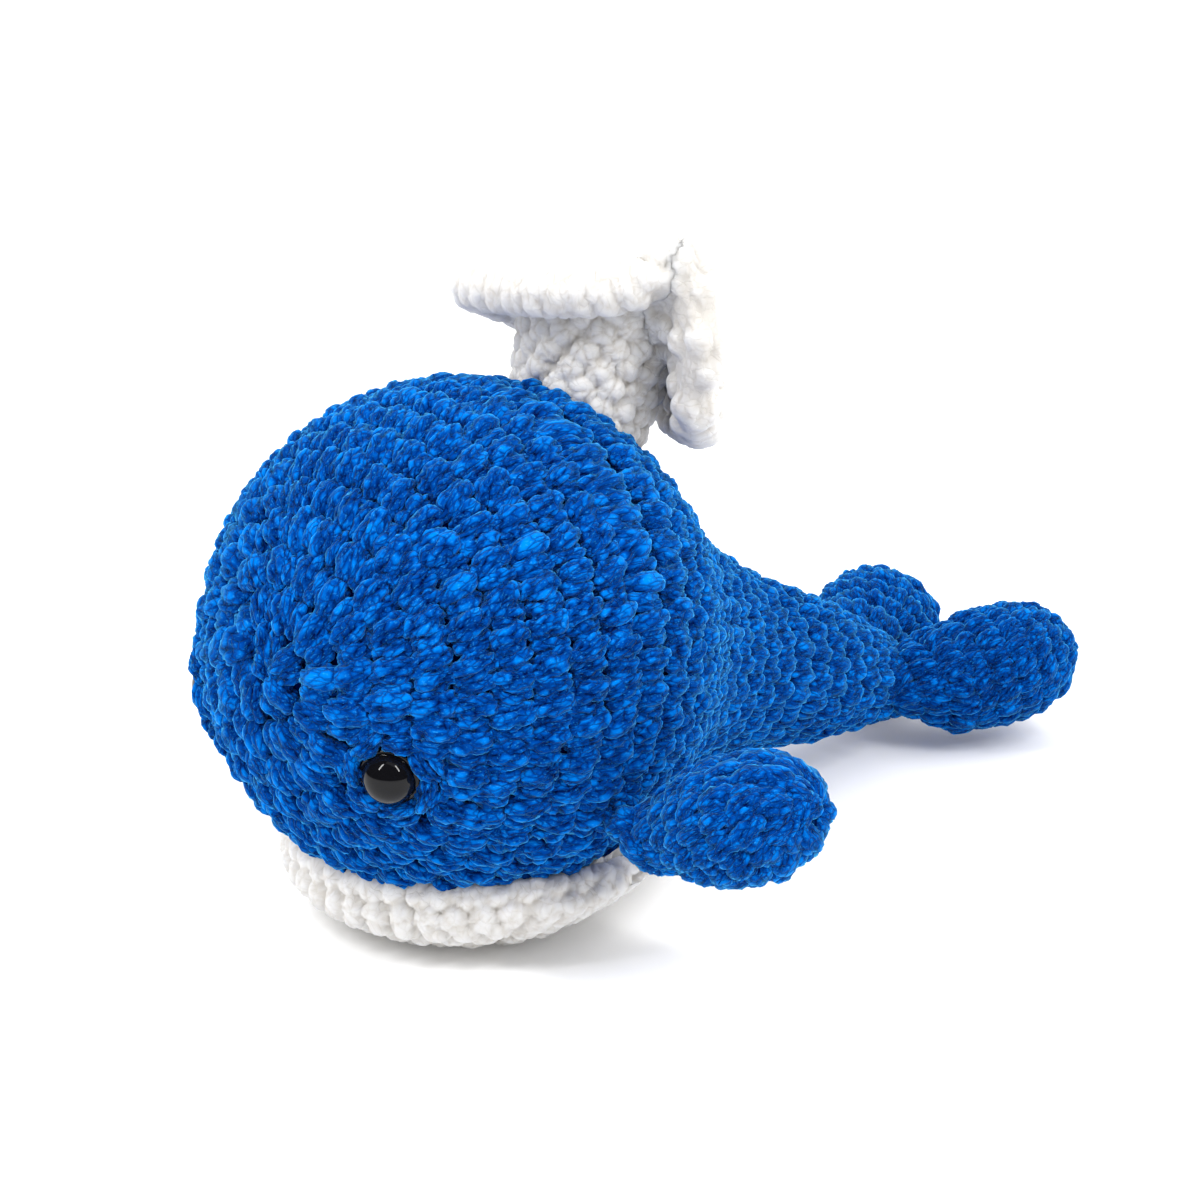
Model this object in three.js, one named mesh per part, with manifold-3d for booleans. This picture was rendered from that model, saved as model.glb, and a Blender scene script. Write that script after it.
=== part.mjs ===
// A crocheted plush whale, stuffed with fibrefill, lying on its belly patch.
// Millimetres. +X points to the nose, +Y to the whale's left and +Z up.
// The origin is on the floor, under the middle of the head.
import * as THREE from 'three';
import { mergeVertices } from 'three/addons/utils/BufferGeometryUtils.js';
import Module from 'manifold-3d';

const wasm = await Module();
wasm.setup();

// Clearances and overruns
const seatGap = 0.3;
const cutOverrun = 2;

// Body
const headRadius = 51;
const noseLength = 51.5;
// The head's weight presses the belly patch to this thickness under it
const patchPressedThickness = 3.8;
const headHeight = headRadius + seatGap + patchPressedThickness;
const nosePitch = THREE.MathUtils.degToRad(8);
const spineBendRun = 12;
const tailEndReach = 126.5;
const tailEndHeight = 14.2;
const tailCapLength = 9;
const bodyWall = 5;
// Along the tail, from the middle of the head: share of its length, share of the head's radius
const tailShares = [[0, 1], [0.14, 0.905], [0.33, 0.615], [0.56, 0.41], [0.8, 0.315], [1, 0.19]];
// The crocheted rounds stand out as ribs, with grooves between them that run out where the body is slim
const roundPitch = 7.7;
const roundGrooveDepth = 2.8;
const fullGrooveRadius = 15;

// Belly patch
const patchThickness = 8;
const patchRadius = 43;
const patchSetback = 8;
const patchRimHeight = 18.5;
const patchRimRound = 5;

// Fins
const finLength = 38;
const finHalfWidth = 13.6;
const finHalfThickness = 11.6;
const finRootRadius = 6;
// The right fin is swept further back than the left one and lies flatter
const finLeftYaw = THREE.MathUtils.degToRad(100);
const finRightYaw = THREE.MathUtils.degToRad(118);
const finLeftPitch = THREE.MathUtils.degToRad(22);
const finRightPitch = THREE.MathUtils.degToRad(14);
const finRootBehindHead = 1;
const finRootAngle = THREE.MathUtils.degToRad(116);

// Flukes
const flukeLength = 30.5;
const flukeHalfWidth = 15.4;
const flukeHalfThickness = 13.8;
const flukeRootRadius = 6;
const flukeYaw = THREE.MathUtils.degToRad(151);
const flukePitch = THREE.MathUtils.degToRad(8);
const flukeRootYaw = THREE.MathUtils.degToRad(122);

// Limb covers
const limbWall = 4;
const limbMouthRadius = 2.4;
// Where each is widest, as a share of its length from the root, and how far its neck and swelling run
const finWidestShare = 0.62;
const finSwellShares = [0.38, 0.5];
const flukeWidestShare = 0.46;
const flukeSwellShares = [0.02, 0.8];

// Sewing yarn
const seamYarnRadius = 1;
const rootSeamClearance = 0.9;
const spoutSeamWidth = 2.2;

// Eyes and washers
const eyeRadius = 4.9;
const eyeDomeHeight = 4.4;
const eyeFlangeRadius = 5.7;
const eyeFlangeThickness = 0.8;
const eyeShankRadius = 1.6;
const eyeShankLength = 11.5;
const eyeRidgeRadius = 1.9;
const eyeRidgePitch = 1.2;
const eyeRidgeCount = 4;
// The right eye is set further round the head than the left one
const eyeLeftAzimuth = THREE.MathUtils.degToRad(30.6);
const eyeRightAzimuth = THREE.MathUtils.degToRad(46);
const eyeElevation = THREE.MathUtils.degToRad(-11.4);
// The shank pulls the flange this far into the cover
const eyeSink = 2.2;
const washerRadius = 7;
const washerThickness = 1.6;
const washerHubRadius = 3.4;
const washerHubHeight = 1.4;

// Spout
const spoutSeatAngle = THREE.MathUtils.degToRad(37.43);
const spoutLean = THREE.MathUtils.degToRad(20);
const spoutFootRadius = 9.8;
const spoutNeckRadius = 13.4;
const spoutHeight = 14;
const spoutWall = 5.2;
const spoutBendRadius = 4.2;
const spoutBrimLength = 22;
const spoutTilt = THREE.MathUtils.degToRad(12);
const spoutTiltSteps = 4;
// Round the brim, from the front to the left: share of the turn, share of a half turn that the brim
// bends out by, share of the brim's length
const spoutBrimShares = [
  [0, 0.36, 0.9], [0.06, 0.32, 0.92], [0.12, 0.22, 0.92], [0.175, 0.08, 0.98], [0.225, 0.4, 1.05],
  [0.28, 0.84, 1.2], [0.4, 0.94, 1.2], [0.5, 0.88, 1.1], [0.62, 0.62, 0.88], [0.75, 0.64, 0.78],
  [0.875, 0.56, 0.72], [1, 0.36, 0.9],
];

// Facets
const bodySides = 36;
const liningSides = 28;
const limbSides = 18;
const limbLiningSides = 14;
const noseRings = 9;
const tailRings = 14;
const capRings = 2;
const eyeSides = 16;
const eyeDomeSteps = 5;
const limbRootSteps = 4;
const limbSwellSteps = 4;
const limbEndSteps = 5;
const seamSides = 22;
const seamYarnSides = 6;
const patchRimSteps = 4;
const spoutSides = 44;
const spoutBendSteps = 4;
const spoutBrimSteps = 2;

// Materials
const blueYarn = new THREE.MeshStandardMaterial({ color: 0x0f62d2, roughness: 0.9, metalness: 0 });
const whiteYarn = new THREE.MeshStandardMaterial({ color: 0xf3f1ec, roughness: 0.9, metalness: 0 });
const fibrefill = new THREE.MeshStandardMaterial({ color: 0xfafafa, roughness: 1, metalness: 0 });
const eyeBlack = new THREE.MeshStandardMaterial({ color: 0x0a0a0c, roughness: 0.08, metalness: 0 });
const washerWhite = new THREE.MeshStandardMaterial({ color: 0xe8e8e4, roughness: 0.5, metalness: 0 });
const blueThread = new THREE.MeshStandardMaterial({ color: 0x0b4fb0, roughness: 0.9, metalness: 0 });
const whiteThread = new THREE.MeshStandardMaterial({ color: 0xe9e6df, roughness: 0.9, metalness: 0 });

// Closed solids from rings of points

function geometryOf(points, index) {
  const geometry = new THREE.BufferGeometry();
  const positions = points.flatMap((point) => point.toArray());
  geometry.setAttribute('position', new THREE.Float32BufferAttribute(positions, 3));
  geometry.setIndex(index);
  geometry.computeVertexNormals();
  return geometry;
}

// Rings along a path, closed by one point at each end
function loftRings(startPole, rings, endPole) {
  const sides = rings[0].length;
  const last = rings.length * sides + 1;
  const index = [];
  for (let side = 0; side < sides; side++) {
    const next = (side + 1) % sides;
    index.push(0, 1 + next, 1 + side);
    for (let ring = 0; ring + 1 < rings.length; ring++) {
      const here = 1 + ring * sides;
      const there = here + sides;
      index.push(here + side, here + next, there + next);
      index.push(here + side, there + next, there + side);
    }
    index.push(last, last - sides + side, last - sides + next);
  }
  return geometryOf([startPole, ...rings.flat(), endPole], index);
}

// Rings round a closed loop
function loopRings(rings) {
  const sides = rings[0].length;
  const index = [];
  for (let ring = 0; ring < rings.length; ring++) {
    const here = ring * sides;
    const there = ((ring + 1) % rings.length) * sides;
    for (let side = 0; side < sides; side++) {
      const next = (side + 1) % sides;
      index.push(here + side, here + next, there + next);
      index.push(here + side, there + next, there + side);
    }
  }
  return geometryOf(rings.flat(), index);
}

// Joins and cuts

function toSolid(geometry) {
  const source = geometry.clone();
  source.deleteAttribute('normal');
  source.deleteAttribute('uv');
  const merged = mergeVertices(source);
  return new wasm.Manifold(new wasm.Mesh({
    numProp: 3,
    vertProperties: new Float32Array(merged.attributes.position.array),
    triVerts: new Uint32Array(merged.index.array),
  }));
}

function toGeometry(solid) {
  const mesh = solid.getMesh();
  const geometry = new THREE.BufferGeometry();
  geometry.setAttribute('position', new THREE.BufferAttribute(mesh.vertProperties, 3));
  geometry.setIndex(new THREE.BufferAttribute(mesh.triVerts, 1));
  geometry.computeVertexNormals();
  return geometry;
}

// Outlines, as points of distance along a spine and radius, from pole to pole

// Moves an outline inwards by a thickness, or outwards by a negative one
function insetOutline(outline, thickness) {
  return outline.map((point, place) => {
    const isStart = place === 0;
    const isEnd = place === outline.length - 1;
    if (isStart || isEnd) {
      return new THREE.Vector2(point.x + (isStart ? thickness : -thickness), 0);
    }
    const travel = outline[place + 1].clone().sub(outline[place - 1]).normalize();
    return new THREE.Vector2(point.x + travel.y * thickness, point.y - travel.x * thickness);
  });
}

// Body: a round head that runs into a tail, on a spine that bends down behind the head

const headCentre = new THREE.Vector3(0, 0, headHeight);
const noseDirection = new THREE.Vector3(Math.cos(nosePitch), 0, Math.sin(nosePitch));
const tailEnd = new THREE.Vector3(-tailEndReach, 0, tailEndHeight);
const nosePoint = headCentre.clone().addScaledVector(noseDirection, noseLength);
const spineBend = headCentre.clone().addScaledVector(noseDirection, -spineBendRun);
const tailSpine = new THREE.QuadraticBezierCurve3(headCentre, spineBend, tailEnd);
const tailRun = tailSpine.getLength();
const leftward = new THREE.Vector3(0, 1, 0);

// Position and directions at a distance from the nose along the spine
function spineAt(distance) {
  const past = distance - noseLength;
  const share = THREE.MathUtils.clamp(past / tailRun, 0, 1);
  const tangent = past < 0 ? noseDirection.clone().negate() : tailSpine.getTangentAt(share);
  const start = past < 0 ? nosePoint : tailSpine.getPointAt(share);
  const rest = past < 0 ? distance : past - share * tailRun;
  const centre = start.clone().addScaledVector(tangent, rest);
  const upward = leftward.clone().cross(tangent);
  return { centre, tangent, upward };
}

function bodyOutline() {
  const outline = [new THREE.Vector2(0, 0)];
  for (let ring = 1; ring <= noseRings; ring++) {
    const turn = (ring / noseRings) * (Math.PI / 2);
    outline.push(new THREE.Vector2(noseLength * (1 - Math.cos(turn)), headRadius * Math.sin(turn)));
  }
  const stations = tailShares.map(([along]) => along);
  const radii = tailShares.map(([, radius]) => radius);
  const taper = new THREE.CubicInterpolant(stations, radii, 1, new Float32Array(1));
  taper.settings = { endingStart: THREE.ZeroSlopeEnding, endingEnd: THREE.ZeroCurvatureEnding };
  for (let ring = 1; ring <= tailRings; ring++) {
    const share = ring / tailRings;
    const radius = headRadius * taper.evaluate(share)[0];
    outline.push(new THREE.Vector2(noseLength + share * tailRun, radius));
  }
  const endRadius = outline[outline.length - 1].y;
  for (let ring = 1; ring <= capRings; ring++) {
    const turn = (ring / (capRings + 1)) * (Math.PI / 2);
    const along = noseLength + tailRun + tailCapLength * Math.sin(turn);
    outline.push(new THREE.Vector2(along, endRadius * Math.cos(turn)));
  }
  outline.push(new THREE.Vector2(noseLength + tailRun + tailCapLength, 0));
  return outline;
}

// Rings round the spine from pole to pole, for the body drawn in by a thickness all over
function bodyRings(thickness, sides) {
  return insetOutline(bodyOutline(), thickness).map(({ x, y }) => {
    const { centre, upward } = spineAt(x);
    return Array.from({ length: sides }, (_, side) => {
      const angle = (side / sides) * 2 * Math.PI;
      return centre.clone()
        .addScaledVector(upward, y * Math.cos(angle))
        .addScaledVector(leftward, y * Math.sin(angle));
    });
  });
}

function loftBody(rings) {
  return loftRings(rings[0][0], rings.slice(1, -1), rings[rings.length - 1][0]);
}

function bodyGeometry(thickness, sides) {
  return loftBody(bodyRings(thickness, sides));
}

function bodySolid(thickness, sides) {
  return toSolid(bodyGeometry(thickness, sides));
}

// The ring at a share of the way along a row of rings, given how far along each of them lies
function ringBetween(runs, rings, share) {
  const stride = 3 * rings[0].length;
  const values = rings.flat().flatMap((point) => point.toArray());
  const track = new THREE.LinearInterpolant(runs, values, stride, new Float32Array(stride));
  const found = track.evaluate(share * runs[runs.length - 1]);
  return rings[0].map((_, side) => new THREE.Vector3().fromArray(found, 3 * side));
}

// The body with its crocheted rounds as ribs, each the height of a groove above its neighbours
function ribbedBody(sides) {
  const runs = [0];
  const outline = bodyOutline();
  for (let place = 1; place < outline.length; place++) {
    runs.push(runs[place - 1] + outline[place].distanceTo(outline[place - 1]));
  }
  const crests = bodyRings(0, sides);
  const floors = bodyRings(roundGrooveDepth, sides);
  const steps = 2 * Math.round(runs[runs.length - 1] / roundPitch);
  const rings = Array.from({ length: steps + 1 }, (_, step) => {
    const crest = ringBetween(runs, crests, step / steps);
    const floor = ringBetween(runs, floors, step / steps);
    const radius = crest[0].distanceTo(crest[sides / 2]) / 2;
    const share = step % 2 === 0 ? Math.min(1, radius / fullGrooveRadius) : 0;
    return crest.map((point, side) => point.lerp(floor[side], share));
  });
  return toSolid(loftBody(rings));
}

// A point on the head's surface and the way out of it, angle measured from the top to the left
function headSeat(behindCentre, angle) {
  const { centre, tangent, upward } = spineAt(noseLength + behindCentre);
  const radial = upward.clone()
    .multiplyScalar(Math.cos(angle))
    .addScaledVector(leftward, Math.sin(angle));
  const lean = behindCentre / headRadius;
  const outward = radial.multiplyScalar(Math.sqrt(1 - lean * lean)).addScaledVector(tangent, lean);
  return { centre, outward: outward.normalize() };
}

// A turn that takes one axis of a piece to a direction, and a second one as near level as it can
function turnTo(axis, level) {
  const across = level.clone().addScaledVector(axis, -level.dot(axis)).normalize();
  return new THREE.Matrix4().makeBasis(axis, across, axis.clone().cross(across));
}

function place(geometry, turn, origin) {
  const placed = geometry.clone();
  placed.applyMatrix4(turn);
  placed.translate(origin.x, origin.y, origin.z);
  return placed;
}

// Eyes: a dome on a flange, with a ridged shank through the cover

const eyeHoleRadius = eyeRidgeRadius + seatGap;

function eyeDirection(side) {
  const azimuth = side > 0 ? eyeLeftAzimuth : eyeRightAzimuth;
  return new THREE.Vector3(
    Math.cos(eyeElevation) * Math.cos(azimuth),
    side * Math.cos(eyeElevation) * Math.sin(azimuth),
    Math.sin(eyeElevation),
  );
}

// The place on the head ahead of its middle that lies in a direction, and the way straight out of it
function headSurface(direction) {
  const ahead = direction.dot(noseDirection);
  const across = direction.clone().addScaledVector(noseDirection, -ahead);
  const reach = 1 / Math.sqrt((ahead / noseLength) ** 2 + (across.length() / headRadius) ** 2);
  const outward = across.divideScalar(headRadius ** 2)
    .addScaledVector(noseDirection, ahead / noseLength ** 2)
    .normalize();
  return { point: headCentre.clone().addScaledVector(direction, reach), outward };
}

// The lathe's axis is turned from +Y to +X first
function latheAlongX(outline) {
  const geometry = new THREE.LatheGeometry(outline, eyeSides);
  geometry.rotateZ(-Math.PI / 2);
  return geometry;
}

function eyeGeometry() {
  const outline = [new THREE.Vector2(0, -eyeShankLength)];
  for (let ridge = eyeRidgeCount; ridge > 0; ridge--) {
    const top = -eyeShankLength + (eyeRidgeCount - ridge + 1) * eyeRidgePitch;
    outline.push(new THREE.Vector2(eyeShankRadius, top - eyeRidgePitch));
    outline.push(new THREE.Vector2(eyeRidgeRadius, top));
  }
  outline.push(new THREE.Vector2(eyeShankRadius, -eyeShankLength + eyeRidgeCount * eyeRidgePitch));
  outline.push(new THREE.Vector2(eyeShankRadius, 0));
  outline.push(new THREE.Vector2(eyeFlangeRadius, 0));
  outline.push(new THREE.Vector2(eyeFlangeRadius, eyeFlangeThickness));
  for (let step = 0; step <= eyeDomeSteps; step++) {
    const turn = (step / eyeDomeSteps) * (Math.PI / 2);
    const radius = step === eyeDomeSteps ? 0 : eyeRadius * Math.cos(turn);
    outline.push(new THREE.Vector2(radius, eyeFlangeThickness + eyeDomeHeight * Math.sin(turn)));
  }
  return latheAlongX(outline);
}

function washerGeometry() {
  const bore = eyeRidgeRadius + seatGap;
  return latheAlongX([
    new THREE.Vector2(bore, -washerThickness - washerHubHeight),
    new THREE.Vector2(washerHubRadius, -washerThickness - washerHubHeight),
    new THREE.Vector2(washerHubRadius, -washerThickness),
    new THREE.Vector2(washerRadius, -washerThickness),
    new THREE.Vector2(washerRadius, 0),
    new THREE.Vector2(bore, 0),
    new THREE.Vector2(bore, -washerThickness - washerHubHeight),
  ]);
}

// A rod along +X from one distance to another, for holes and pockets
function rodAlongX(radius, from, to) {
  const geometry = new THREE.CylinderGeometry(radius, radius, to - from, eyeSides);
  geometry.rotateZ(-Math.PI / 2);
  geometry.translate((from + to) / 2, 0, 0);
  return geometry;
}

const washerSeatDepth = bodyWall + seatGap + washerRadius ** 2 / (headRadius - bodyWall);

// Sets a shape along +X at an eye, with its origin at a height over the head
function placeAtEye(geometry, side, height) {
  const { point, outward } = headSurface(eyeDirection(side));
  return place(geometry, turnTo(outward, new THREE.Vector3(0, 0, 1)), point.addScaledVector(outward, height));
}

function eyeCut(side, radius, depthFrom, depthTo) {
  return toSolid(placeAtEye(rodAlongX(radius, -depthTo, -depthFrom), side, 0));
}

// Limbs: a round root that turns in its seat, a neck, a swelling and a round end

function limbOutline(limb, thickness) {
  const { rootRadius, halfWidth, length, widestShare, swellShares } = limb;
  const outline = [];
  for (let step = 0; step <= limbRootSteps; step++) {
    const turn = (step / limbRootSteps) * (Math.PI / 2);
    outline.push(new THREE.Vector2(-rootRadius * Math.cos(turn), rootRadius * Math.sin(turn)));
  }
  const widest = length * widestShare;
  const swell = new THREE.CubicBezierCurve(
    new THREE.Vector2(0, rootRadius),
    new THREE.Vector2(widest * swellShares[0], rootRadius),
    new THREE.Vector2(widest * (1 - swellShares[1]), halfWidth),
    new THREE.Vector2(widest, halfWidth),
  );
  for (let step = 1; step <= limbSwellSteps; step++) {
    outline.push(swell.getPoint(step / limbSwellSteps));
  }
  for (let step = 1; step <= limbEndSteps; step++) {
    const turn = (step / limbEndSteps) * (Math.PI / 2);
    const radius = step === limbEndSteps ? 0 : halfWidth * Math.cos(turn);
    outline.push(new THREE.Vector2(widest + (length - widest) * Math.sin(turn), radius));
  }
  return insetOutline(outline, thickness);
}

// Lofts a limb's outline along +X, flatter in Z than in Y past its root
function limbLoft(limb, thickness, sides) {
  const outline = limbOutline(limb, thickness);
  const flatShare = limb.halfThickness / limb.halfWidth;
  const rings = outline.slice(1, -1).map(({ x, y }) => {
    const flatness = THREE.MathUtils.smoothstep(x, 0, limb.length * limb.widestShare);
    const flatten = THREE.MathUtils.lerp(1, flatShare, flatness);
    return Array.from({ length: sides }, (_, side) => {
      const angle = (side / sides) * 2 * Math.PI;
      return new THREE.Vector3(x, y * Math.cos(angle), y * flatten * Math.sin(angle));
    });
  });
  const start = new THREE.Vector3(outline[0].x, 0, 0);
  const end = new THREE.Vector3(outline[outline.length - 1].x, 0, 0);
  return loftRings(start, rings, end);
}

function limbParts(limb) {
  const outer = toSolid(limbLoft(limb, 0, limbSides));
  const hollow = toSolid(limbLoft(limb, limbWall, limbLiningSides));
  const mouth = toSolid(rodAlongX(limbMouthRadius, -limb.rootRadius - cutOverrun, limb.rootRadius));
  return {
    cover: toGeometry(outer.subtract(hollow.add(mouth))),
    stuffing: limbLoft(limb, limbWall + seatGap, limbLiningSides),
  };
}

// Sewing yarn round a root: a ring that rests in the corner between two round surfaces
function rootSeam(seatRadius, rootRadius) {
  const rootDistance = seatRadius + seatGap + rootRadius;
  const toSeat = seatRadius + seatGap + seamYarnRadius;
  const toRoot = rootRadius + rootSeamClearance + seamYarnRadius;
  const along = (toSeat ** 2 - toRoot ** 2 + rootDistance ** 2) / (2 * rootDistance);
  const ringRadius = Math.sqrt(toSeat ** 2 - along ** 2);
  const ring = new THREE.TorusGeometry(ringRadius, seamYarnRadius, seamYarnSides, seamSides);
  ring.rotateY(Math.PI / 2);
  ring.translate(along, 0, 0);
  return ring;
}

// Assembly

const whale = new THREE.Group();

function addPiece(name, geometry, material) {
  const mesh = new THREE.Mesh(geometry, material);
  mesh.name = name;
  whale.add(mesh);
}

const sides = [['left', 1], ['right', -1]];

// Body cover and stuffing
const bodyCover = sides.reduce(
  (solid, [, side]) => solid
    .subtract(eyeCut(side, eyeHoleRadius, 0, bodyWall + cutOverrun))
    .subtract(eyeCut(side, eyeFlangeRadius + seatGap, -cutOverrun, eyeSink)),
  ribbedBody(bodySides).subtract(bodySolid(bodyWall, liningSides)),
);
addPiece('body_cover', toGeometry(bodyCover), blueYarn);

const bodyStuffing = sides.reduce(
  (solid, [, side]) => solid
    .subtract(eyeCut(side, washerRadius + seatGap, 0, eyeSink + eyeShankLength + cutOverrun)),
  bodySolid(bodyWall + seatGap, liningSides),
);
addPiece('body_stuffing', toGeometry(bodyStuffing), fibrefill);

for (const [name, side] of sides) {
  addPiece(`eye_${name}`, placeAtEye(eyeGeometry(), side, seatGap - eyeSink), eyeBlack);
  addPiece(`eye_${name}_washer`, placeAtEye(washerGeometry(), side, -washerSeatDepth), washerWhite);
}

// Belly patch: a dish that follows the underside of the body, flat where it lies on the floor
function patchBlank(grow) {
  const radius = patchRadius + grow;
  const flatRadius = radius - patchRimRound;
  const bottom = -patchThickness;
  const section = [[flatRadius, bottom], [radius, bottom + patchRimRound]];
  for (let step = 0; step <= patchRimSteps; step++) {
    const turn = (step / patchRimSteps) * (Math.PI / 2);
    section.push([
      flatRadius + patchRimRound * Math.cos(turn),
      patchRimHeight + grow - patchRimRound + patchRimRound * Math.sin(turn),
    ]);
  }
  const rings = section.map(([reach, height]) => Array.from({ length: bodySides }, (_, side) => {
    const angle = (side / bodySides) * 2 * Math.PI;
    return new THREE.Vector3(reach * Math.cos(angle), reach * Math.sin(angle), height);
  }));
  const start = new THREE.Vector3(0, 0, bottom);
  const end = new THREE.Vector3(0, 0, patchRimHeight + grow);
  const blank = loftRings(start, rings, end);
  blank.translate(-patchSetback, 0, 0);
  return toSolid(blank);
}

const bodyClearance = bodyGeometry(-seatGap, bodySides);
const patch = bodySolid(-patchThickness, bodySides)
  .intersect(patchBlank(0))
  .subtract(toSolid(bodyClearance))
  .trimByPlane([0, 0, 1], 0);
addPiece('belly_patch', toGeometry(patch), whiteYarn);

// Seam yarn that lies on the body, as thick as the yarn
const seamBand = 2 * seamYarnRadius;
const seamShell = bodySolid(-seatGap - seamBand, bodySides).subtract(toSolid(bodyClearance));
const bellySeam = seamShell
  .intersect(patchBlank(seatGap + seamBand))
  .subtract(patchBlank(seatGap));
addPiece('belly_seam', toGeometry(bellySeam), whiteThread);

// Fins
const fin = limbParts({
  rootRadius: finRootRadius,
  halfWidth: finHalfWidth,
  halfThickness: finHalfThickness,
  length: finLength,
  widestShare: finWidestShare,
  swellShares: finSwellShares,
});
const finTurns = [['left', 1, finLeftYaw, finLeftPitch], ['right', -1, finRightYaw, finRightPitch]];
for (const [name, side, finYaw, finPitch] of finTurns) {
  const { centre, outward } = headSeat(finRootBehindHead, finRootAngle);
  outward.y *= side;
  const root = centre.clone().addScaledVector(outward, headRadius + seatGap + finRootRadius);
  const along = new THREE.Vector3(
    Math.cos(finPitch) * Math.cos(finYaw),
    side * Math.cos(finPitch) * Math.sin(finYaw),
    Math.sin(finPitch),
  );
  const turn = turnTo(along, new THREE.Vector3(1, 0, 0));
  addPiece(`fin_${name}_cover`, place(fin.cover, turn, root), blueYarn);
  addPiece(`fin_${name}_stuffing`, place(fin.stuffing, turn, root), fibrefill);
  const seamTurn = turnTo(outward, new THREE.Vector3(1, 0, 0));
  const seam = rootSeam(headRadius, finRootRadius);
  addPiece(`fin_${name}_seam`, place(seam, seamTurn, centre), blueThread);
}

// Flukes
const fluke = limbParts({
  rootRadius: flukeRootRadius,
  halfWidth: flukeHalfWidth,
  halfThickness: flukeHalfThickness,
  length: flukeLength,
  widestShare: flukeWidestShare,
  swellShares: flukeSwellShares,
});
const tailEndRadius = headRadius * tailShares[tailShares.length - 1][1];
for (const [name, side] of sides) {
  const outward = new THREE.Vector3(Math.cos(flukeRootYaw), side * Math.sin(flukeRootYaw), 0);
  const root = tailEnd.clone().addScaledVector(outward, tailEndRadius + seatGap + flukeRootRadius);
  const along = new THREE.Vector3(
    Math.cos(flukePitch) * Math.cos(flukeYaw),
    side * Math.cos(flukePitch) * Math.sin(flukeYaw),
    Math.sin(flukePitch),
  );
  const turn = turnTo(along, new THREE.Vector3(1, 0, 0));
  addPiece(`fluke_${name}_cover`, place(fluke.cover, turn, root), blueYarn);
  addPiece(`fluke_${name}_stuffing`, place(fluke.stuffing, turn, root), fibrefill);
  const seamTurn = turnTo(outward, new THREE.Vector3(1, 0, 0));
  const seam = rootSeam(tailEndRadius, flukeRootRadius);
  addPiece(`fluke_${name}_seam`, place(seam, seamTurn, tailEnd), blueThread);
}

// Spout: a tube that leans back, with a wavy brim that curls out and hangs down behind on the left

const spoutReach = headRadius * Math.sin(spoutSeatAngle);
const spoutSide = Math.sqrt(headRadius ** 2 - spoutReach ** 2 - spoutFootRadius ** 2);
const spoutFoot = new THREE.Vector3(-spoutReach, 0, headHeight + spoutSide);

const brimTurns = spoutBrimShares.map(([turn]) => turn);
const brimValues = spoutBrimShares.flatMap(([, bend, length]) => [bend, length]);
const brim = new THREE.CubicInterpolant(brimTurns, brimValues, 2, new Float32Array(2));
brim.settings = { endingStart: THREE.WrapAroundEnding, endingEnd: THREE.WrapAroundEnding };

// The middle of the wall at one place round the spout: radius, height and lean from upright
function spoutMidline(turnShare) {
  const [bendShare, lengthShare] = brim.evaluate(turnShare);
  const bend = bendShare * Math.PI;
  const lean = Math.atan2(spoutNeckRadius - spoutFootRadius, spoutHeight);
  const line = [
    { radius: spoutFootRadius, height: -headRadius / 2, lean: 0 },
    { radius: spoutFootRadius, height: 0, lean: lean / 2 },
    { radius: spoutNeckRadius, height: spoutHeight, lean },
  ];
  for (let step = 1; step <= spoutBendSteps; step++) {
    const turned = lean + (bend - lean) * (step / spoutBendSteps);
    line.push({
      radius: spoutNeckRadius + spoutBendRadius * (Math.cos(lean) - Math.cos(turned)),
      height: spoutHeight + spoutBendRadius * (Math.sin(turned) - Math.sin(lean)),
      lean: turned,
    });
  }
  const rest = lengthShare * spoutBrimLength - spoutBendRadius * (bend - lean);
  const last = line[line.length - 1];
  for (let step = 1; step <= spoutBrimSteps; step++) {
    const along = rest * (step / spoutBrimSteps);
    line.push({
      radius: last.radius + Math.sin(bend) * along,
      height: last.height + Math.cos(bend) * along,
      lean: bend,
    });
  }
  return line;
}

// The spout on its own foot, with the wall's inside up one way and its outside down the other
function spoutGeometry() {
  const half = spoutWall / 2;
  const rings = Array.from({ length: spoutSides }, (_, side) => {
    const line = spoutMidline(side / spoutSides);
    const inner = line.map(({ radius, height, lean }) => (
      [radius - half * Math.cos(lean), height + half * Math.sin(lean)]
    ));
    const outer = line.map(({ radius, height, lean }) => (
      [radius + half * Math.cos(lean), height - half * Math.sin(lean)]
    ));
    const end = line[line.length - 1];
    const edge = [end.radius + half * Math.sin(end.lean), end.height + half * Math.cos(end.lean)];
    const azimuth = (side / spoutSides) * 2 * Math.PI;
    return [...inner, edge, ...outer.reverse()].map(([reach, rise]) => (
      new THREE.Vector3(reach * Math.cos(azimuth), reach * Math.sin(azimuth), rise)
    ));
  });
  const geometry = loopRings(rings);
  geometry.rotateY(-spoutLean);
  geometry.translate(spoutFoot.x, spoutFoot.y, spoutFoot.z);
  return geometry;
}

// Turns a shape about the spout's foot
function tiltAtFoot(geometry, angle) {
  const tilted = geometry.clone();
  tilted.translate(-spoutFoot.x, -spoutFoot.y, -spoutFoot.z);
  tilted.rotateY(angle);
  tilted.translate(spoutFoot.x, spoutFoot.y, spoutFoot.z);
  return tilted;
}

const tiltAngles = Array.from({ length: spoutTiltSteps + 1 }, (_, step) => (
  spoutTilt * (2 * (step / spoutTiltSteps) - 1)
));
const spout = tiltAngles.reduce(
  (solid, angle) => solid.subtract(toSolid(tiltAtFoot(bodyClearance, angle))),
  toSolid(spoutGeometry()),
);
addPiece('spout', toGeometry(spout), whiteYarn);

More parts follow.
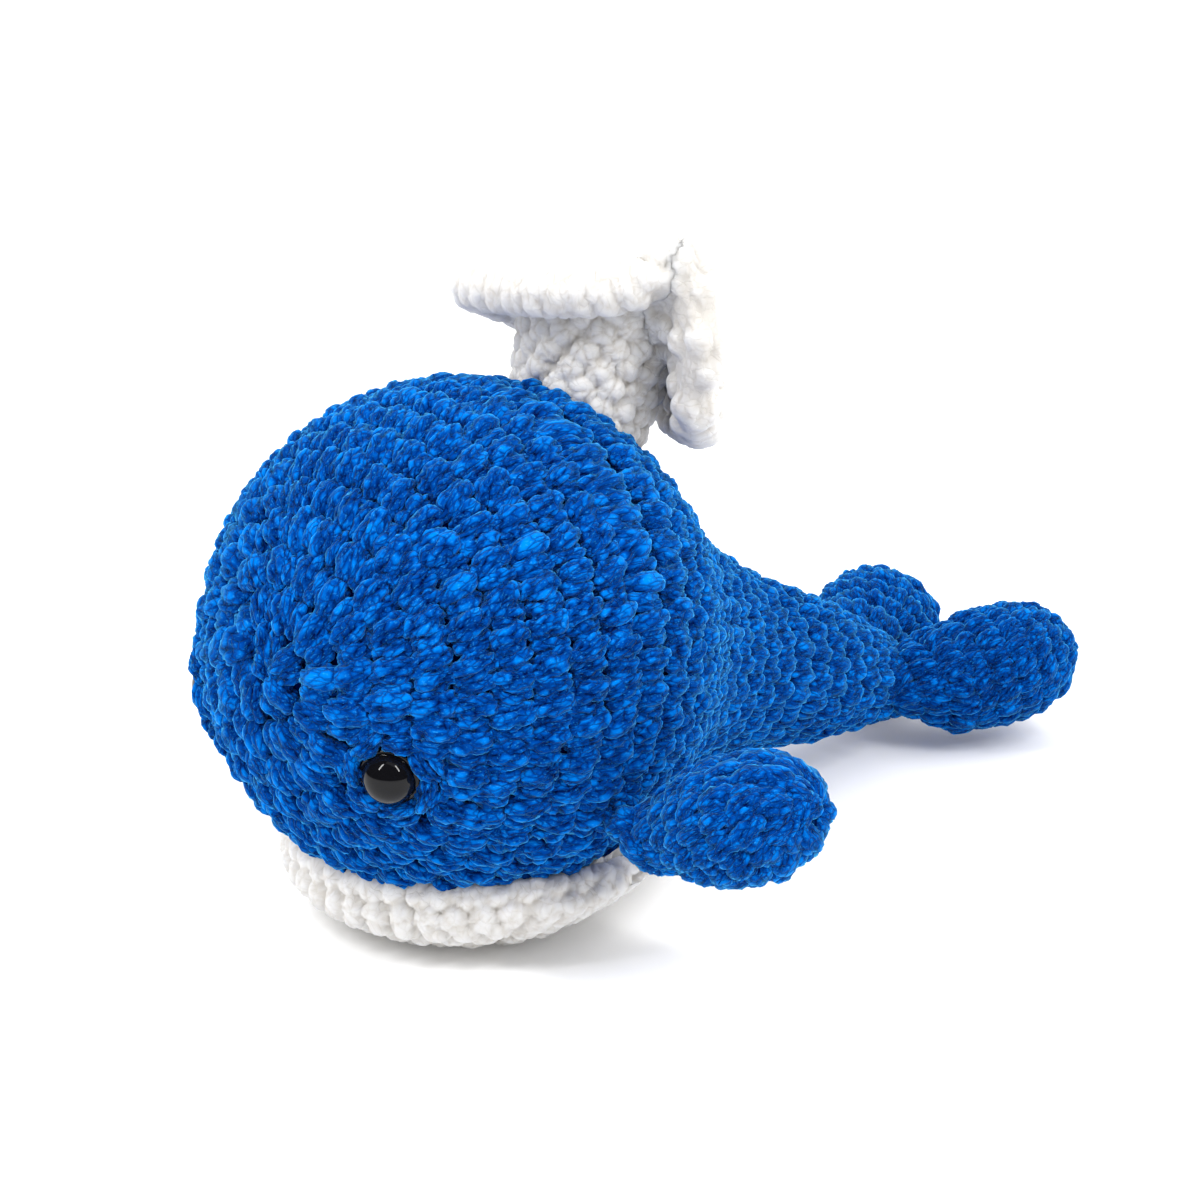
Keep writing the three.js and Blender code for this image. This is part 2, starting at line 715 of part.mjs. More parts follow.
// A round block on the spout's axis that follows the outside of its foot and neck
function footBlock(grow) {
  const flare = Math.atan2(spoutNeckRadius - spoutFootRadius, spoutHeight);
  const outside = spoutWall / 2 / Math.cos(flare) + grow;
  const block = new THREE.LatheGeometry([
    new THREE.Vector2(0, -headRadius / 2),
    new THREE.Vector2(spoutFootRadius + outside, -headRadius / 2),
    new THREE.Vector2(spoutFootRadius + outside, 0),
    new THREE.Vector2(spoutNeckRadius + outside, spoutHeight),
    new THREE.Vector2(0, spoutHeight),
  ], spoutSides);
  block.rotateX(Math.PI / 2);
  block.rotateY(-spoutLean);
  block.translate(spoutFoot.x, spoutFoot.y, spoutFoot.z);
  return block;
}

// The spout's sewing yarn lies on the head round the foot, clear of it at every tilt
const spoutSeam = tiltAngles.reduce(
  (solid, angle) => solid.subtract(toSolid(tiltAtFoot(footBlock(seatGap), angle))),
  seamShell.intersect(toSolid(footBlock(seatGap + spoutSeamWidth))),
);
addPiece('spout_seam', toGeometry(spoutSeam), whiteThread);

export default whale;
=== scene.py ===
# Scene of the crocheted plush whale. Metres, in the CAD frame: +X nose, +Y the whale's left, +Z up.
import math

import bmesh
import bpy
import numpy as np
from mathutils import Matrix, Vector
from mathutils.bvhtree import BVHTree


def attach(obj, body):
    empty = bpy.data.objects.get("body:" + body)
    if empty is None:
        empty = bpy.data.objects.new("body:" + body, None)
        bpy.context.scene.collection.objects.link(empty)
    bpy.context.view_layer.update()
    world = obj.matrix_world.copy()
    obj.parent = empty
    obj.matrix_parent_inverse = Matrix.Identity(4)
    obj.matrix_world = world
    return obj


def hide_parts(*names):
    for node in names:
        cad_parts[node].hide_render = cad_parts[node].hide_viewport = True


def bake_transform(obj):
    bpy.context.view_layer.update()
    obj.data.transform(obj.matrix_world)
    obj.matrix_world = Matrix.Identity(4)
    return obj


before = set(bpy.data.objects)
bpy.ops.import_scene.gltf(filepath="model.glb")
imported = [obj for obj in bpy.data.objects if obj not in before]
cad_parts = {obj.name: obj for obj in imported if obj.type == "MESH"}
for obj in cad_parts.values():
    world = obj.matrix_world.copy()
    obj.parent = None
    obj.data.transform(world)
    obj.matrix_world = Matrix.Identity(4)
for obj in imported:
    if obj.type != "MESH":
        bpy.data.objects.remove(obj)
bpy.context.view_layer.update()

# Camera. It looks at the whale from the front left, a little above it, with a long lens.
camera_place = (0.36647, 0.39736, 0.24307)
camera_target = (-0.03677, 0.0, 0.05413)


def aimed(name, data, place, target):
    """Sets down a camera or a light, turned to face its target."""
    made = bpy.data.objects.new(name, data)
    made.location = place
    made.rotation_euler = (Vector(target) - Vector(place)).to_track_quat("-Z", "Y").to_euler()
    bpy.context.scene.collection.objects.link(made)
    return made


camera_data = bpy.data.cameras.new("camera")
camera_data.lens = 89.07
camera_data.sensor_fit = "HORIZONTAL"
camera_data.sensor_width = 36.0
camera_data.clip_start = 0.01
bpy.context.scene.camera = aimed("camera", camera_data, camera_place, camera_target)

# Floor. A wide, pale, slightly satin sheet, as in a light tent.
floor_half = 6.0
floor_corners = ((-1, -1), (1, -1), (1, 1), (-1, 1))


def mesh_object(name, mesh):
    made = bpy.data.objects.new(name, mesh)
    bpy.context.scene.collection.objects.link(made)
    return made


def material_of(name, settings):
    """A material, its node tree, and its main shader with the given inputs set."""
    material = bpy.data.materials.new(name)
    material.use_nodes = True
    shader = material.node_tree.nodes["Principled BSDF"]
    for socket, value in settings.items():
        shader.inputs[socket].default_value = value
    return material, material.node_tree, shader


floor_mesh = bpy.data.meshes.new("floor")
floor_mesh.from_pydata([(x * floor_half, y * floor_half, 0) for x, y in floor_corners], [], [(0, 1, 2, 3)])
floor_mesh.materials.append(material_of("pale_floor", {
    "Base Color": (0.93, 0.93, 0.93, 1), "Roughness": 0.7, "Specular IOR Level": 0.1,
    "Emission Color": (1, 1, 1, 1), "Emission Strength": 0.06})[0])
floor = mesh_object("floor", floor_mesh)

# Light. A bright tent above, behind and at the sides, open and darker at the front, with two narrow
# softboxes high at the front that show as two strips in the eyes.
tent_front = (0.712, 0.702, 0.0)
tent_bright = 1.5
tent_dark = 0.62
light_target = (0.0, 0.0, 0.06)


def fill_inputs(tree, node, inputs):
    """Gives a node its inputs, as values or as other nodes' outputs."""
    for socket, value in inputs.items():
        if isinstance(value, bpy.types.NodeSocket):
            tree.links.new(value, node.inputs[socket])
        else:
            node.inputs[socket].default_value = value


def add_node(tree, kind, inputs=None, **settings):
    """A node in a tree, with its settings and its inputs."""
    made = tree.nodes.new(kind)
    for key, value in settings.items():
        setattr(made, key, value)
    fill_inputs(tree, made, inputs or {})
    return made


world = bpy.data.worlds.new("light_tent")
world.use_nodes = True
world_tree = world.node_tree
way_out = add_node(world_tree, "ShaderNodeTexCoord").outputs["Generated"]
frontness = add_node(world_tree, "ShaderNodeVectorMath", {0: way_out, 1: tent_front}, operation="DOT_PRODUCT")
opening = add_node(world_tree, "ShaderNodeMapRange", {
    "Value": frontness.outputs["Value"], "From Min": 0.15, "From Max": 0.65,
    "To Min": tent_bright, "To Max": tent_dark}, interpolation_type="SMOOTHSTEP")
fill_inputs(world_tree, world_tree.nodes["Background"], {
    "Color": (1.0, 1.0, 1.0, 1), "Strength": opening.outputs["Result"]})
world.cycles_visibility.glossy = False
bpy.context.scene.world = world
bpy.context.scene.view_settings.view_transform = "Standard"


def softbox(name, place, width, height, power):
    light = bpy.data.lights.new(name, "AREA")
    light.shape = "RECTANGLE"
    light.size = width
    light.size_y = height
    light.energy = power
    aimed(name, light, place, light_target)


softbox("softbox_top", (-0.1, 0.25, 1.1), width=0.8, height=0.8, power=1.5)
softbox("strip_front", (0.66, -0.08, 0.80), width=0.10, height=0.5, power=5.0)
softbox("strip_left", (-0.05, 0.72, 0.80), width=0.10, height=0.5, power=5.0)

# Body cover. One crocheted panel of thick blue chenille yarn, worked in a spiral of single crochet
# from a ring at the nose to the end of the tail. Every stitch shows as a fat slanted strand with a
# thinner one below it. The panel is drawn over a lining that closes the gaps between the strands;
# the lining has no crease mask, so the yarn paints it in its darkest colour, a painted shade.
head_radius = 0.051
nose_length = 0.0515
head_height = 0.0551
nose_pitch = math.radians(8)
spine_bend_run = 0.012
tail_end_reach = 0.1265
tail_end_height = 0.0142
tail_cap_length = 0.009
tail_shares = [(0, 1), (0.14, 0.905), (0.33, 0.615), (0.56, 0.41), (0.8, 0.315), (1, 0.19)]
body_round_pitch = 0.0074
body_stitch_width = 0.0070
tail_stitch_width = 0.0058
stitch_overlap = 1.09
closing_row = 0.0005
last_row_gap = 0.002
tail_width_start = 0.08
tail_width_rate = 1.6
tail_smooth_start = 0.075
tail_smooth_run = 0.06
tail_smoothness = 0.35

head_centre = np.array([0, 0, head_height])
nose_direction = np.array([math.cos(nose_pitch), 0, math.sin(nose_pitch)])
tail_end = np.array([-tail_end_reach, 0, tail_end_height])
spine_bend = head_centre - spine_bend_run * nose_direction
leftward = np.array([0.0, 1.0, 0.0])


def unit(ways):
    """The same ways with a length of one."""
    return ways / np.linalg.norm(ways, axis=-1, keepdims=True)


def run_up(steps):
    """The distance run at every point, from the lengths or the ways of the steps between them."""
    lengths = np.linalg.norm(steps, axis=1) if steps.ndim == 2 else steps
    return np.concatenate([[0], np.cumsum(lengths)])


def smooth_through(stations, values, places, level_start=False):
    """A smooth curve through given stations."""
    stations, values = np.array(stations, float), np.array(values, float)
    slopes = np.gradient(values, stations)
    if level_start:
        slopes[0] = 0
    k = np.clip(np.searchsorted(stations, places, side="right") - 1, 0, len(stations) - 2)
    gap = stations[k + 1] - stations[k]
    t = (places - stations[k]) / gap
    return ((2 * t ** 3 - 3 * t ** 2 + 1) * values[k] + (t ** 3 - 2 * t ** 2 + t) * gap * slopes[k]
            + (3 * t ** 2 - 2 * t ** 3) * values[k + 1] + (t ** 3 - t ** 2) * gap * slopes[k + 1])


near_step = 0.0004
near_turn = 0.004
least_length = 1e-12


class Panel:
    """A crocheted surface, as rings of points from its first round to its last.

    place(rows, turns) gives points for distances along the panel and turns round it, as arrays.
    """

    def __init__(self, place, length):
        self.place = place
        self.length = length

    def frame_at(self, rows, turns, step=near_step):
        """Places, ways onward and outward, and metres per row distance and per turn."""
        here = self.place(rows, turns)
        onward = self.place(rows + step, turns) - self.place(rows - step, turns)
        across = self.place(rows, turns + near_turn) - self.place(rows, turns - near_turn)
        reach = np.linalg.norm(onward, axis=1, keepdims=True)
        girth = np.linalg.norm(across, axis=1)
        onward = onward / np.maximum(reach, least_length)
        outward = np.cross(across, onward)
        outward = outward / np.maximum(np.linalg.norm(outward, axis=1, keepdims=True), least_length)
        return here, onward, outward, reach[:, 0] / (2 * step), girth / (2 * near_turn)

    def ring_at(self, row, turns):
        """Places and ways on one round."""
        return self.frame_at(np.full(turns, row), np.arange(turns) / turns)[:3]


def spine_point(t):
    return (1 - t) ** 2 * head_centre + 2 * t * (1 - t) * spine_bend + t ** 2 * tail_end


spine_steps = 400


def spine_frame(past):
    """Centre and upward way at distances past the middle of the head, and the whole run to the tail."""
    steps = np.linspace(0, 1, spine_steps)[:, None]
    run = run_up(np.diff(spine_point(steps), axis=0))
    inside = np.clip(past, 0, run[-1])
    t = np.interp(inside, run, steps[:, 0])[:, None]
    tangent = unit(2 * (1 - t) * (spine_bend - head_centre) + 2 * t * (tail_end - spine_bend))
    centre = spine_point(t) + (past - inside)[:, None] * tangent
    return centre, np.cross(leftward, tangent), run[-1]


tail_run = spine_frame(np.zeros(1))[2]
nose_steps = 120
tail_steps = 300
tail_cap_steps = 40


def body_outline():
    """Distance past the middle of the head and radius, from the nose to the end of the tail."""
    nose_turn = np.linspace(0, math.pi / 2, nose_steps)
    along = [-nose_length * np.cos(nose_turn)]
    radius = [head_radius * np.sin(nose_turn)]
    shares = np.linspace(0, 1, tail_steps)[1:]
    along.append(shares * tail_run)
    radius.append(head_radius * smooth_through(
        [s for s, _ in tail_shares], [r for _, r in tail_shares], shares, level_start=True))
    cap_turn = np.linspace(0, math.pi / 2, tail_cap_steps)[1:]
    along.append(tail_run + tail_cap_length * np.sin(cap_turn))
    radius.append(radius[-1][-1] * np.cos(cap_turn))
    return np.concatenate(along), np.concatenate(radius)


outline_along, outline_radius = body_outline()
outline_run = run_up(np.hypot(np.diff(outline_along), np.diff(outline_radius)))


def body_place(rows, turns):
    past = np.interp(rows, outline_run, outline_along)
    radius = np.interp(rows, outline_run, outline_radius)
    centre, upward, _ = spine_frame(past)
    angle = turns * 2 * math.pi
    return (centre + (radius * np.cos(angle))[:, None] * upward
            + (radius * np.sin(angle))[:, None] * leftward)


body_panel = Panel(body_place, outline_run[-1])
girth_steps = 65
least_stitches = 5
place_jitter = 0.05


def spiral_stitches(panel, pitch, width_at, slant, first_row, last_row, seed, closed=False):
    """Places of single crochet stitches along a spiral: rows, turns, stitch width in turns.

    A closed ring starts with one stitch across its middle.
    """
    rng = np.random.default_rng(seed)
    rows, turns, widths = ([closing_row], [0.0], [1.0]) if closed else ([], [], [])
    row, turn = first_row, 0.0
    while row < last_row:
        ring = panel.place(np.full(girth_steps, row), np.linspace(0, 1, girth_steps))
        girth = np.linalg.norm(np.diff(ring, axis=0), axis=1).sum()
        count = max(least_stitches, round(girth / width_at(row)))
        for k in range(count):
            rows.append(row + pitch * k / count)
            turns.append(turn + k / count)
            widths.append(1 / count)
        turn += slant / count
        row += pitch
    jitter = rng.uniform(-1, 1, (2, len(rows))) * place_jitter
    widths = np.array(widths)
    return np.array(rows) + jitter[0] * pitch, np.array(turns) + jitter[1] * widths, widths


strand_crowding = 0.5
strand_flatness = 0.3
end_power = 6
strand_apart = 5.0


def sweep(path, radii, sides, rings):
    """A closed strand along a smooth path: points, faces, and each point's place along the strand."""
    path, radii = np.array(path, float), np.array(radii, float)
    knots = np.linspace(0, 1, len(path))
    even = np.linspace(0, 1, rings + 2)
    t = strand_crowding * (1 - np.cos(even * math.pi)) / 2 + (1 - strand_crowding) * even
    centre = np.stack([smooth_through(knots, path[:, k], t) for k in range(3)], 1)
    thick = smooth_through(knots, radii, t)
    radius = thick * np.sqrt(np.clip(1 - np.abs(2 * t - 1) ** end_power, 0, 1))
    tangent = unit(np.gradient(centre, t, axis=0))
    side = unit(np.cross(np.array([0, 0, 1.0]), tangent))
    up = np.cross(tangent, side)
    turn = np.arange(sides) / sides * 2 * math.pi
    turn = turn - strand_flatness * np.sin(turn)
    run = run_up(np.diff(centre, axis=0))
    points, fibre = [centre[0]], [[run[0], 0, 0]]
    for k in range(1, rings + 1):
        for a in turn:
            points.append(centre[k] + radius[k] * (math.cos(a) * up[k] + math.sin(a) * side[k]))
            fibre.append([run[k], thick[k] * math.cos(a), thick[k] * math.sin(a)])
    points.append(centre[-1])
    fibre.append([run[-1], 0, 0])
    faces = []
    last = len(points) - 1
    for a in range(sides):
        b = (a + 1) % sides
        faces.append((0, 1 + a, 1 + b))
        for k in range(rings - 1):
            here = 1 + k * sides
            faces.append((here + a, here + sides + a, here + sides + b, here + b))
        faces.append((last, last - sides + b, last - sides + a))
    return np.array(points), faces, np.array(fibre)


def stitch_object(name, strands):
    """One stitch from its strands, in a cell one unit long and wide, x towards the next round."""
    points, faces, fibres = [], [], []
    for number, strand in enumerate(strands):
        p, f, w = sweep(*strand)
        start = sum(len(q) for q in points)
        points.append(p)
        fibres.append(w + np.array([number * strand_apart, 0, 0]))
        faces += [tuple(v + start for v in face) for face in f]
    mesh = bpy.data.meshes.new(name)
    mesh.from_pydata(np.concatenate(points).tolist(), [], faces)
    fibre = mesh.attributes.new("fibre", "FLOAT_VECTOR", "POINT")
    fibre.data.foreach_set("vector", np.concatenate(fibres).astype(np.float32).ravel())
    return mesh_object(name, mesh)


def maths(tree, operation, *values):
    return add_node(tree, "ShaderNodeMath", dict(enumerate(values)), operation=operation).outputs[0]


def vectors(tree, operation, *values):
    return add_node(tree, "ShaderNodeVectorMath", dict(enumerate(values)), operation=operation).outputs[0]


def scaled(tree, vector, factor):
    inputs = {0: vector, "Scale": factor}
    return add_node(tree, "ShaderNodeVectorMath", inputs, operation="SCALE").outputs[0]


def attribute_of(tree, name, kind="FLOAT_VECTOR"):
    found = add_node(tree, "GeometryNodeInputNamedAttribute", {"Name": name}, data_type=kind)
    return found.outputs["Attribute"]


def new_tree(name, sockets):
    """A Geometry Nodes tree with named inputs."""
    tree = bpy.data.node_groups.new(name, "GeometryNodeTree")
    tree.interface.new_socket("Geometry", in_out="INPUT", socket_type="NodeSocketGeometry")
    for socket, kind in sockets.items():
        tree.interface.new_socket(socket, in_out="INPUT", socket_type="NodeSocket" + kind)
    tree.interface.new_socket("Geometry", in_out="OUTPUT", socket_type="NodeSocketGeometry")
    return tree, tree.nodes.new("NodeGroupInput").outputs


fold_half = 0.36
fold_stretch = (0.8, 1, 1)
crest_level = 0.7


def fold_crest(tree, place, size, stretch, wander, wander_scale, wander_detail):
    """One on top of a fold of pile and nought in the crease between two, and the places in fold widths."""
    cell = scaled(tree, vectors(tree, "MULTIPLY", place, stretch), maths(tree, "DIVIDE", 1.0, size))
    bend = add_node(tree, "ShaderNodeTexNoise", {
        "Vector": cell, "Scale": wander_scale, "Detail": wander_detail})
    bent = vectors(tree, "ADD", cell, scaled(tree, bend.outputs["Color"], wander))
    edge = add_node(tree, "ShaderNodeTexVoronoi", {"Vector": bent, "Scale": 1.0}, feature="DISTANCE_TO_EDGE")
    share = maths(tree, "MINIMUM", maths(tree, "DIVIDE", edge.outputs["Distance"], fold_half), 1.0)
    return maths(tree, "SQRT", maths(tree, "MULTIPLY", share, maths(tree, "SUBTRACT", 2.0, share))), cell


def crinkled(tree, geometry, place, size, depth, stretch=(1, 1, 1)):
    """Pushes a pile surface into lumps with creases between them, and keeps the crease as a mask."""
    crest, _ = fold_crest(tree, place, size, stretch, wander=0.9, wander_scale=0.7, wander_detail=0.0)
    normal = tree.nodes.new("GeometryNodeInputNormal").outputs[0]
    push = scaled(tree, normal, maths(tree, "MULTIPLY", maths(tree, "SUBTRACT", crest, crest_level), depth))
    moved = add_node(tree, "GeometryNodeSetPosition", {"Geometry": geometry, "Offset": push})
    return moved.outputs[0], crest


def kept(tree, geometry, name, value, kind="FLOAT"):
    return add_node(tree, "GeometryNodeStoreNamedAttribute", {
        "Geometry": geometry, "Name": name, "Value": value}, data_type=kind, domain="POINT").outputs[0]


def finished(tree, geometry, yarn):
    """Presses the yarn flat on the floor at nought, shades it smooth and gives it its material."""
    here = tree.nodes.new("GeometryNodeInputPosition").outputs[0]
    parts = add_node(tree, "ShaderNodeSeparateXYZ", {0: here})
    pressed = add_node(tree, "ShaderNodeCombineXYZ", {
        0: parts.outputs[0], 1: parts.outputs[1], 2: maths(tree, "MAXIMUM", parts.outputs[2], 0.0)})
    flat = add_node(tree, "GeometryNodeSetPosition", {"Geometry": geometry, "Position": pressed.outputs[0]})
    smooth = add_node(tree, "GeometryNodeSetShadeSmooth", {"Geometry": flat.outputs[0]})
    coloured = add_node(tree, "GeometryNodeSetMaterial", {"Geometry": smooth.outputs[0], "Material": yarn})
    add_node(tree, "NodeGroupOutput", {0: coloured.outputs[0]})


yarn_per_stitch = 0.0072
seed_shift = (0.071, 0.037, 0.053)


def crochet_tree():
    """Sets one stitch on every point of a spiral, fills it out and crinkles its yarn."""
    tree, given = new_tree("crochet_stitches", {
        "Stitch": "Object", "Lining": "Object", "Fineness": "Int", "Lump Size": "Float",
        "Lump Depth": "Float", "Crinkle Size": "Float", "Crinkle Depth": "Float", "Yarn": "Material"})
    stitch = add_node(tree, "GeometryNodeObjectInfo", {"Object": given["Stitch"]})
    turned = add_node(tree, "FunctionNodeAlignRotationToVector", {
        "Vector": attribute_of(tree, "outward")}, axis="Z")
    turned = add_node(tree, "FunctionNodeAlignRotationToVector", {
        "Rotation": turned.outputs[0], "Vector": attribute_of(tree, "onward")}, axis="X", pivot_axis="Z")
    set_on = add_node(tree, "GeometryNodeInstanceOnPoints", {
        "Points": given["Geometry"], "Instance": stitch.outputs["Geometry"], "Rotation": turned.outputs[0],
        "Scale": attribute_of(tree, "stitch_size")})
    real = add_node(tree, "GeometryNodeRealizeInstances", {"Geometry": set_on.outputs["Instances"]})
    full = add_node(tree, "GeometryNodeSubdivisionSurface", {
        "Mesh": real.outputs[0], "Level": given["Fineness"]})
    along = scaled(tree, attribute_of(tree, "fibre"), yarn_per_stitch)
    place = vectors(tree, "ADD", along, scaled(tree, seed_shift, attribute_of(tree, "stitch_seed", "FLOAT")))
    placed = kept(tree, full.outputs[0], "yarn_place", place, "FLOAT_VECTOR")
    place = attribute_of(tree, "yarn_place")
    roughness = attribute_of(tree, "stitch_roughness", "FLOAT")
    lumpy, lump_crest = crinkled(tree, placed, place, given["Lump Size"],
                                 maths(tree, "MULTIPLY", given["Lump Depth"], roughness))
    lumpy = kept(tree, lumpy, "crease", lump_crest)
    fine, fine_crest = crinkled(tree, lumpy, place, given["Crinkle Size"],
                                maths(tree, "MULTIPLY", given["Crinkle Depth"], roughness), fold_stretch)
    # The crease mask is high on the crests and low in the creases; the yarn's material paints shade and
    # highlight from it.
    both = maths(tree, "MULTIPLY", attribute_of(tree, "crease", "FLOAT"), fine_crest)
    masked = kept(tree, fine, "crease", maths(tree, "SQRT", maths(tree, "MAXIMUM", both, 0.0)))
    # The lining has no crease mask, so the yarn paints it in its darkest crease colour: painted shade in the
    # gaps between the strands.
    lining = add_node(tree, "GeometryNodeObjectInfo", {"Object": given["Lining"]})
    joined = tree.nodes.new("GeometryNodeJoinGeometry")
    tree.links.new(lining.outputs["Geometry"], joined.inputs[0])
    tree.links.new(masked, joined.inputs[0])
    finished(tree, joined.outputs[0], given["Yarn"])
    return tree


crochet = crochet_tree()


def rings_object(name, rings, poles):
    """A skin through rings of points, joined to itself or closed at its ends on two poles."""
    turns = len(rings[0])
    vertices = np.concatenate(rings).tolist()
    faces = []
    for k in range(len(rings) if poles is None else len(rings) - 1):
        below, above = k * turns, (k + 1) % len(rings) * turns
        for a in range(turns):
            b = (a + 1) % turns
            faces.append((below + a, below + b, above + b, above + a))
    for pole, start, way in zip(poles or (), (0, len(vertices) - turns), (1, -1)):
        vertices.append(tuple(pole))
        faces += [(start + (a + 1) % turns, start + a, len(vertices) - 1)[::way] for a in range(turns)]
    mesh = bpy.data.meshes.new(name)
    mesh.from_pydata(vertices, [], faces)
    return mesh_object(name, mesh)


def skin_ring(panel, row, turns, lift):
    """One ring of a panel, lifted off it along its outward direction."""
    here, _, outward = panel.ring_at(row, turns)
    return here + lift * outward


lining_pole_row = 0.0006
lining_pole_turns = 8


def lining_of(panel, depth, grid):
    """A closed sheet that lies a little inside the panel."""
    rings = [skin_ring(panel, row, grid[1], -depth) for row in np.linspace(0, panel.length, grid[0])[1:-1]]
    poles = []
    for row in (lining_pole_row, panel.length - lining_pole_row):
        here, _, outward = panel.ring_at(row, lining_pole_turns)
        poles.append(here[0] - depth * outward.mean(0))
    return rings_object("lining", rings, poles)


def made_by(tree, source, name, inputs):
    """Runs a tree on an object and returns the result as a plain mesh object."""
    modifier = source.modifiers.new("made", "NODES")
    modifier.node_group = tree
    for item in tree.interface.items_tree:
        if item.in_out == "INPUT" and item.name in inputs:
            modifier[item.identifier] = inputs[item.name]
    depsgraph = bpy.context.evaluated_depsgraph_get()
    result = bpy.data.meshes.new_from_object(source.evaluated_get(depsgraph), preserve_all_data_layers=True,
                                             depsgraph=depsgraph)
    result.name = name
    for other in [source] + [value for value in inputs.values() if isinstance(value, bpy.types.Object)]:
        bpy.data.objects.remove(other)
    return mesh_object(name, result)


def points_object(name, here, **values):
    """A mesh of loose points with vector or number attributes."""
    mesh = bpy.data.meshes.new(name)
    mesh.vertices.add(len(here))
    mesh.vertices.foreach_set("co", here.astype(np.float32).ravel())
    for key, value in values.items():
        kind, field = ("FLOAT_VECTOR", "vector") if value.ndim == 2 else ("FLOAT", "value")
        mesh.attributes.new(key, kind, "POINT").data.foreach_set(field, value.astype(np.float32).ravel())
    return mesh_object(name, mesh)


fuzz_height = 0.2


def crinkle_group():
    """Fine creases of bunched pile: a height, a mask that is low in the creases, and painted glints on the
    crests of the pile.
    """
    group = bpy.data.node_groups.new("pile_creases", "ShaderNodeTree")
    for socket, kind in (("Place", "Vector"), ("Size", "Float")):
        group.interface.new_socket(socket, in_out="INPUT", socket_type="NodeSocket" + kind)
    for socket in ("Height", "Mask", "Glints"):
        group.interface.new_socket(socket, in_out="OUTPUT", socket_type="NodeSocketFloat")
    given = group.nodes.new("NodeGroupInput").outputs
    crest, cell = fold_crest(group, given["Place"], given["Size"], fold_stretch, wander=1.2, wander_scale=0.8,
                             wander_detail=1.0)
    fuzz = add_node(group, "ShaderNodeTexNoise", {"Vector": cell, "Scale": 5.0, "Detail": 3.0})
    height = maths(group, "ADD", crest, maths(group, "MULTIPLY", fuzz.outputs[0], fuzz_height))
    # Painted glints: pale spots on the crests of the pile, where it would catch the light.
    glint_spots = add_node(group, "ShaderNodeMapRange", {
        "Value": fuzz.outputs[0], "From Min": 0.55, "From Max": 0.72},
        interpolation_type="SMOOTHSTEP").outputs["Result"]
    add_node(group, "NodeGroupOutput", {0: height, 1: crest, 2: maths(group, "MULTIPLY", glint_spots, crest)})
    return group


pile_creases = crinkle_group()
lump_shade_share = 0.74
painted_sheen_narrowness = 3.2


def chenille(name, crease_shade, middle, pale, rim, painted_sheen_share, glint_share, crease_size, bump_depth, sheen, sheen_tint,
             gloss, glow):
    """Velvety chenille, with painted shade in the creases, a painted highlight on the crests, painted glints
    on the pile and a painted sheen where the pile is seen edge-on.
    """
    material, tree, shader = material_of(name, {
        "Sheen Weight": sheen, "Sheen Roughness": 0.3, "Sheen Tint": sheen_tint, "Subsurface Weight": glow,
        "Subsurface Scale": 0.003, "Subsurface Radius": (1.0, 0.95, 0.9), "Specular IOR Level": gloss})
    place = add_node(tree, "ShaderNodeAttribute", attribute_name="yarn_place")
    creases = add_node(tree, "ShaderNodeGroup", {
        "Place": place.outputs["Vector"], "Size": crease_size}, node_tree=pile_creases)
    crest = add_node(tree, "ShaderNodeAttribute", attribute_name="crease").outputs["Fac"]
    # Painted shade and highlight: the tone is low in the creases and high on the crests.
    tone = maths(tree, "ADD", maths(tree, "MULTIPLY", crest, lump_shade_share),
                 maths(tree, "MULTIPLY", creases.outputs["Mask"], 1 - lump_shade_share))
    # The ramp runs from painted shade in the creases, through the middle colour, to a painted highlight on
    # the crests.
    ramp = add_node(tree, "ShaderNodeValToRGB", {0: tone})
    ramp.color_ramp.elements[0].position = 0.3
    ramp.color_ramp.elements[0].color = crease_shade
    ramp.color_ramp.elements[1].color = pale
    ramp.color_ramp.elements.new(0.72).color = middle
    # Painted sheen: the rim colour is mixed in where the pile is seen edge-on.
    edge = add_node(tree, "ShaderNodeLayerWeight", {"Blend": 0.3})
    share = maths(tree, "MULTIPLY", maths(tree, "POWER", edge.outputs["Facing"], painted_sheen_narrowness), painted_sheen_share)
    # Painted glints: the rim colour is laid on pale spots of the pile.
    glint_spots = maths(tree, "MULTIPLY", creases.outputs["Glints"], glint_share)
    tipped = add_node(tree, "ShaderNodeMix", {0: glint_spots, 6: ramp.outputs[0], 7: rim}, data_type="RGBA")
    mix = add_node(tree, "ShaderNodeMix", {0: share, 6: tipped.outputs[2], 7: rim}, data_type="RGBA")
    rough = add_node(tree, "ShaderNodeMapRange", {
        "Value": creases.outputs["Mask"], "To Min": 0.95, "To Max": 0.7})
    bump = add_node(tree, "ShaderNodeBump", {
        "Strength": 1.0, "Distance": bump_depth, "Height": creases.outputs["Height"]})
    fill_inputs(tree, shader, {
        "Base Color": mix.outputs[2], "Roughness": rough.outputs["Result"], "Normal": bump.outputs[0]})
    return material


# Blue yarn. Its darkest colour is painted shade in the creases, its palest a painted highlight on the crests,
# and its rim colour a painted sheen and painted glints.
blue_chenille = chenille(
    "blue_chenille", crease_shade=(0.0, 0.002, 0.05, 1), middle=(0.0, 0.05, 0.29, 1), pale=(0.0001, 0.18, 0.68, 1),
    rim=(0.05, 0.46, 0.9, 1), painted_sheen_share=1.0, glint_share=0.3, crease_size=0.0014, bump_depth=0.0003,
    sheen=0.14, sheen_tint=(0.35, 0.65, 1, 1), gloss=0.003, glow=0.0)


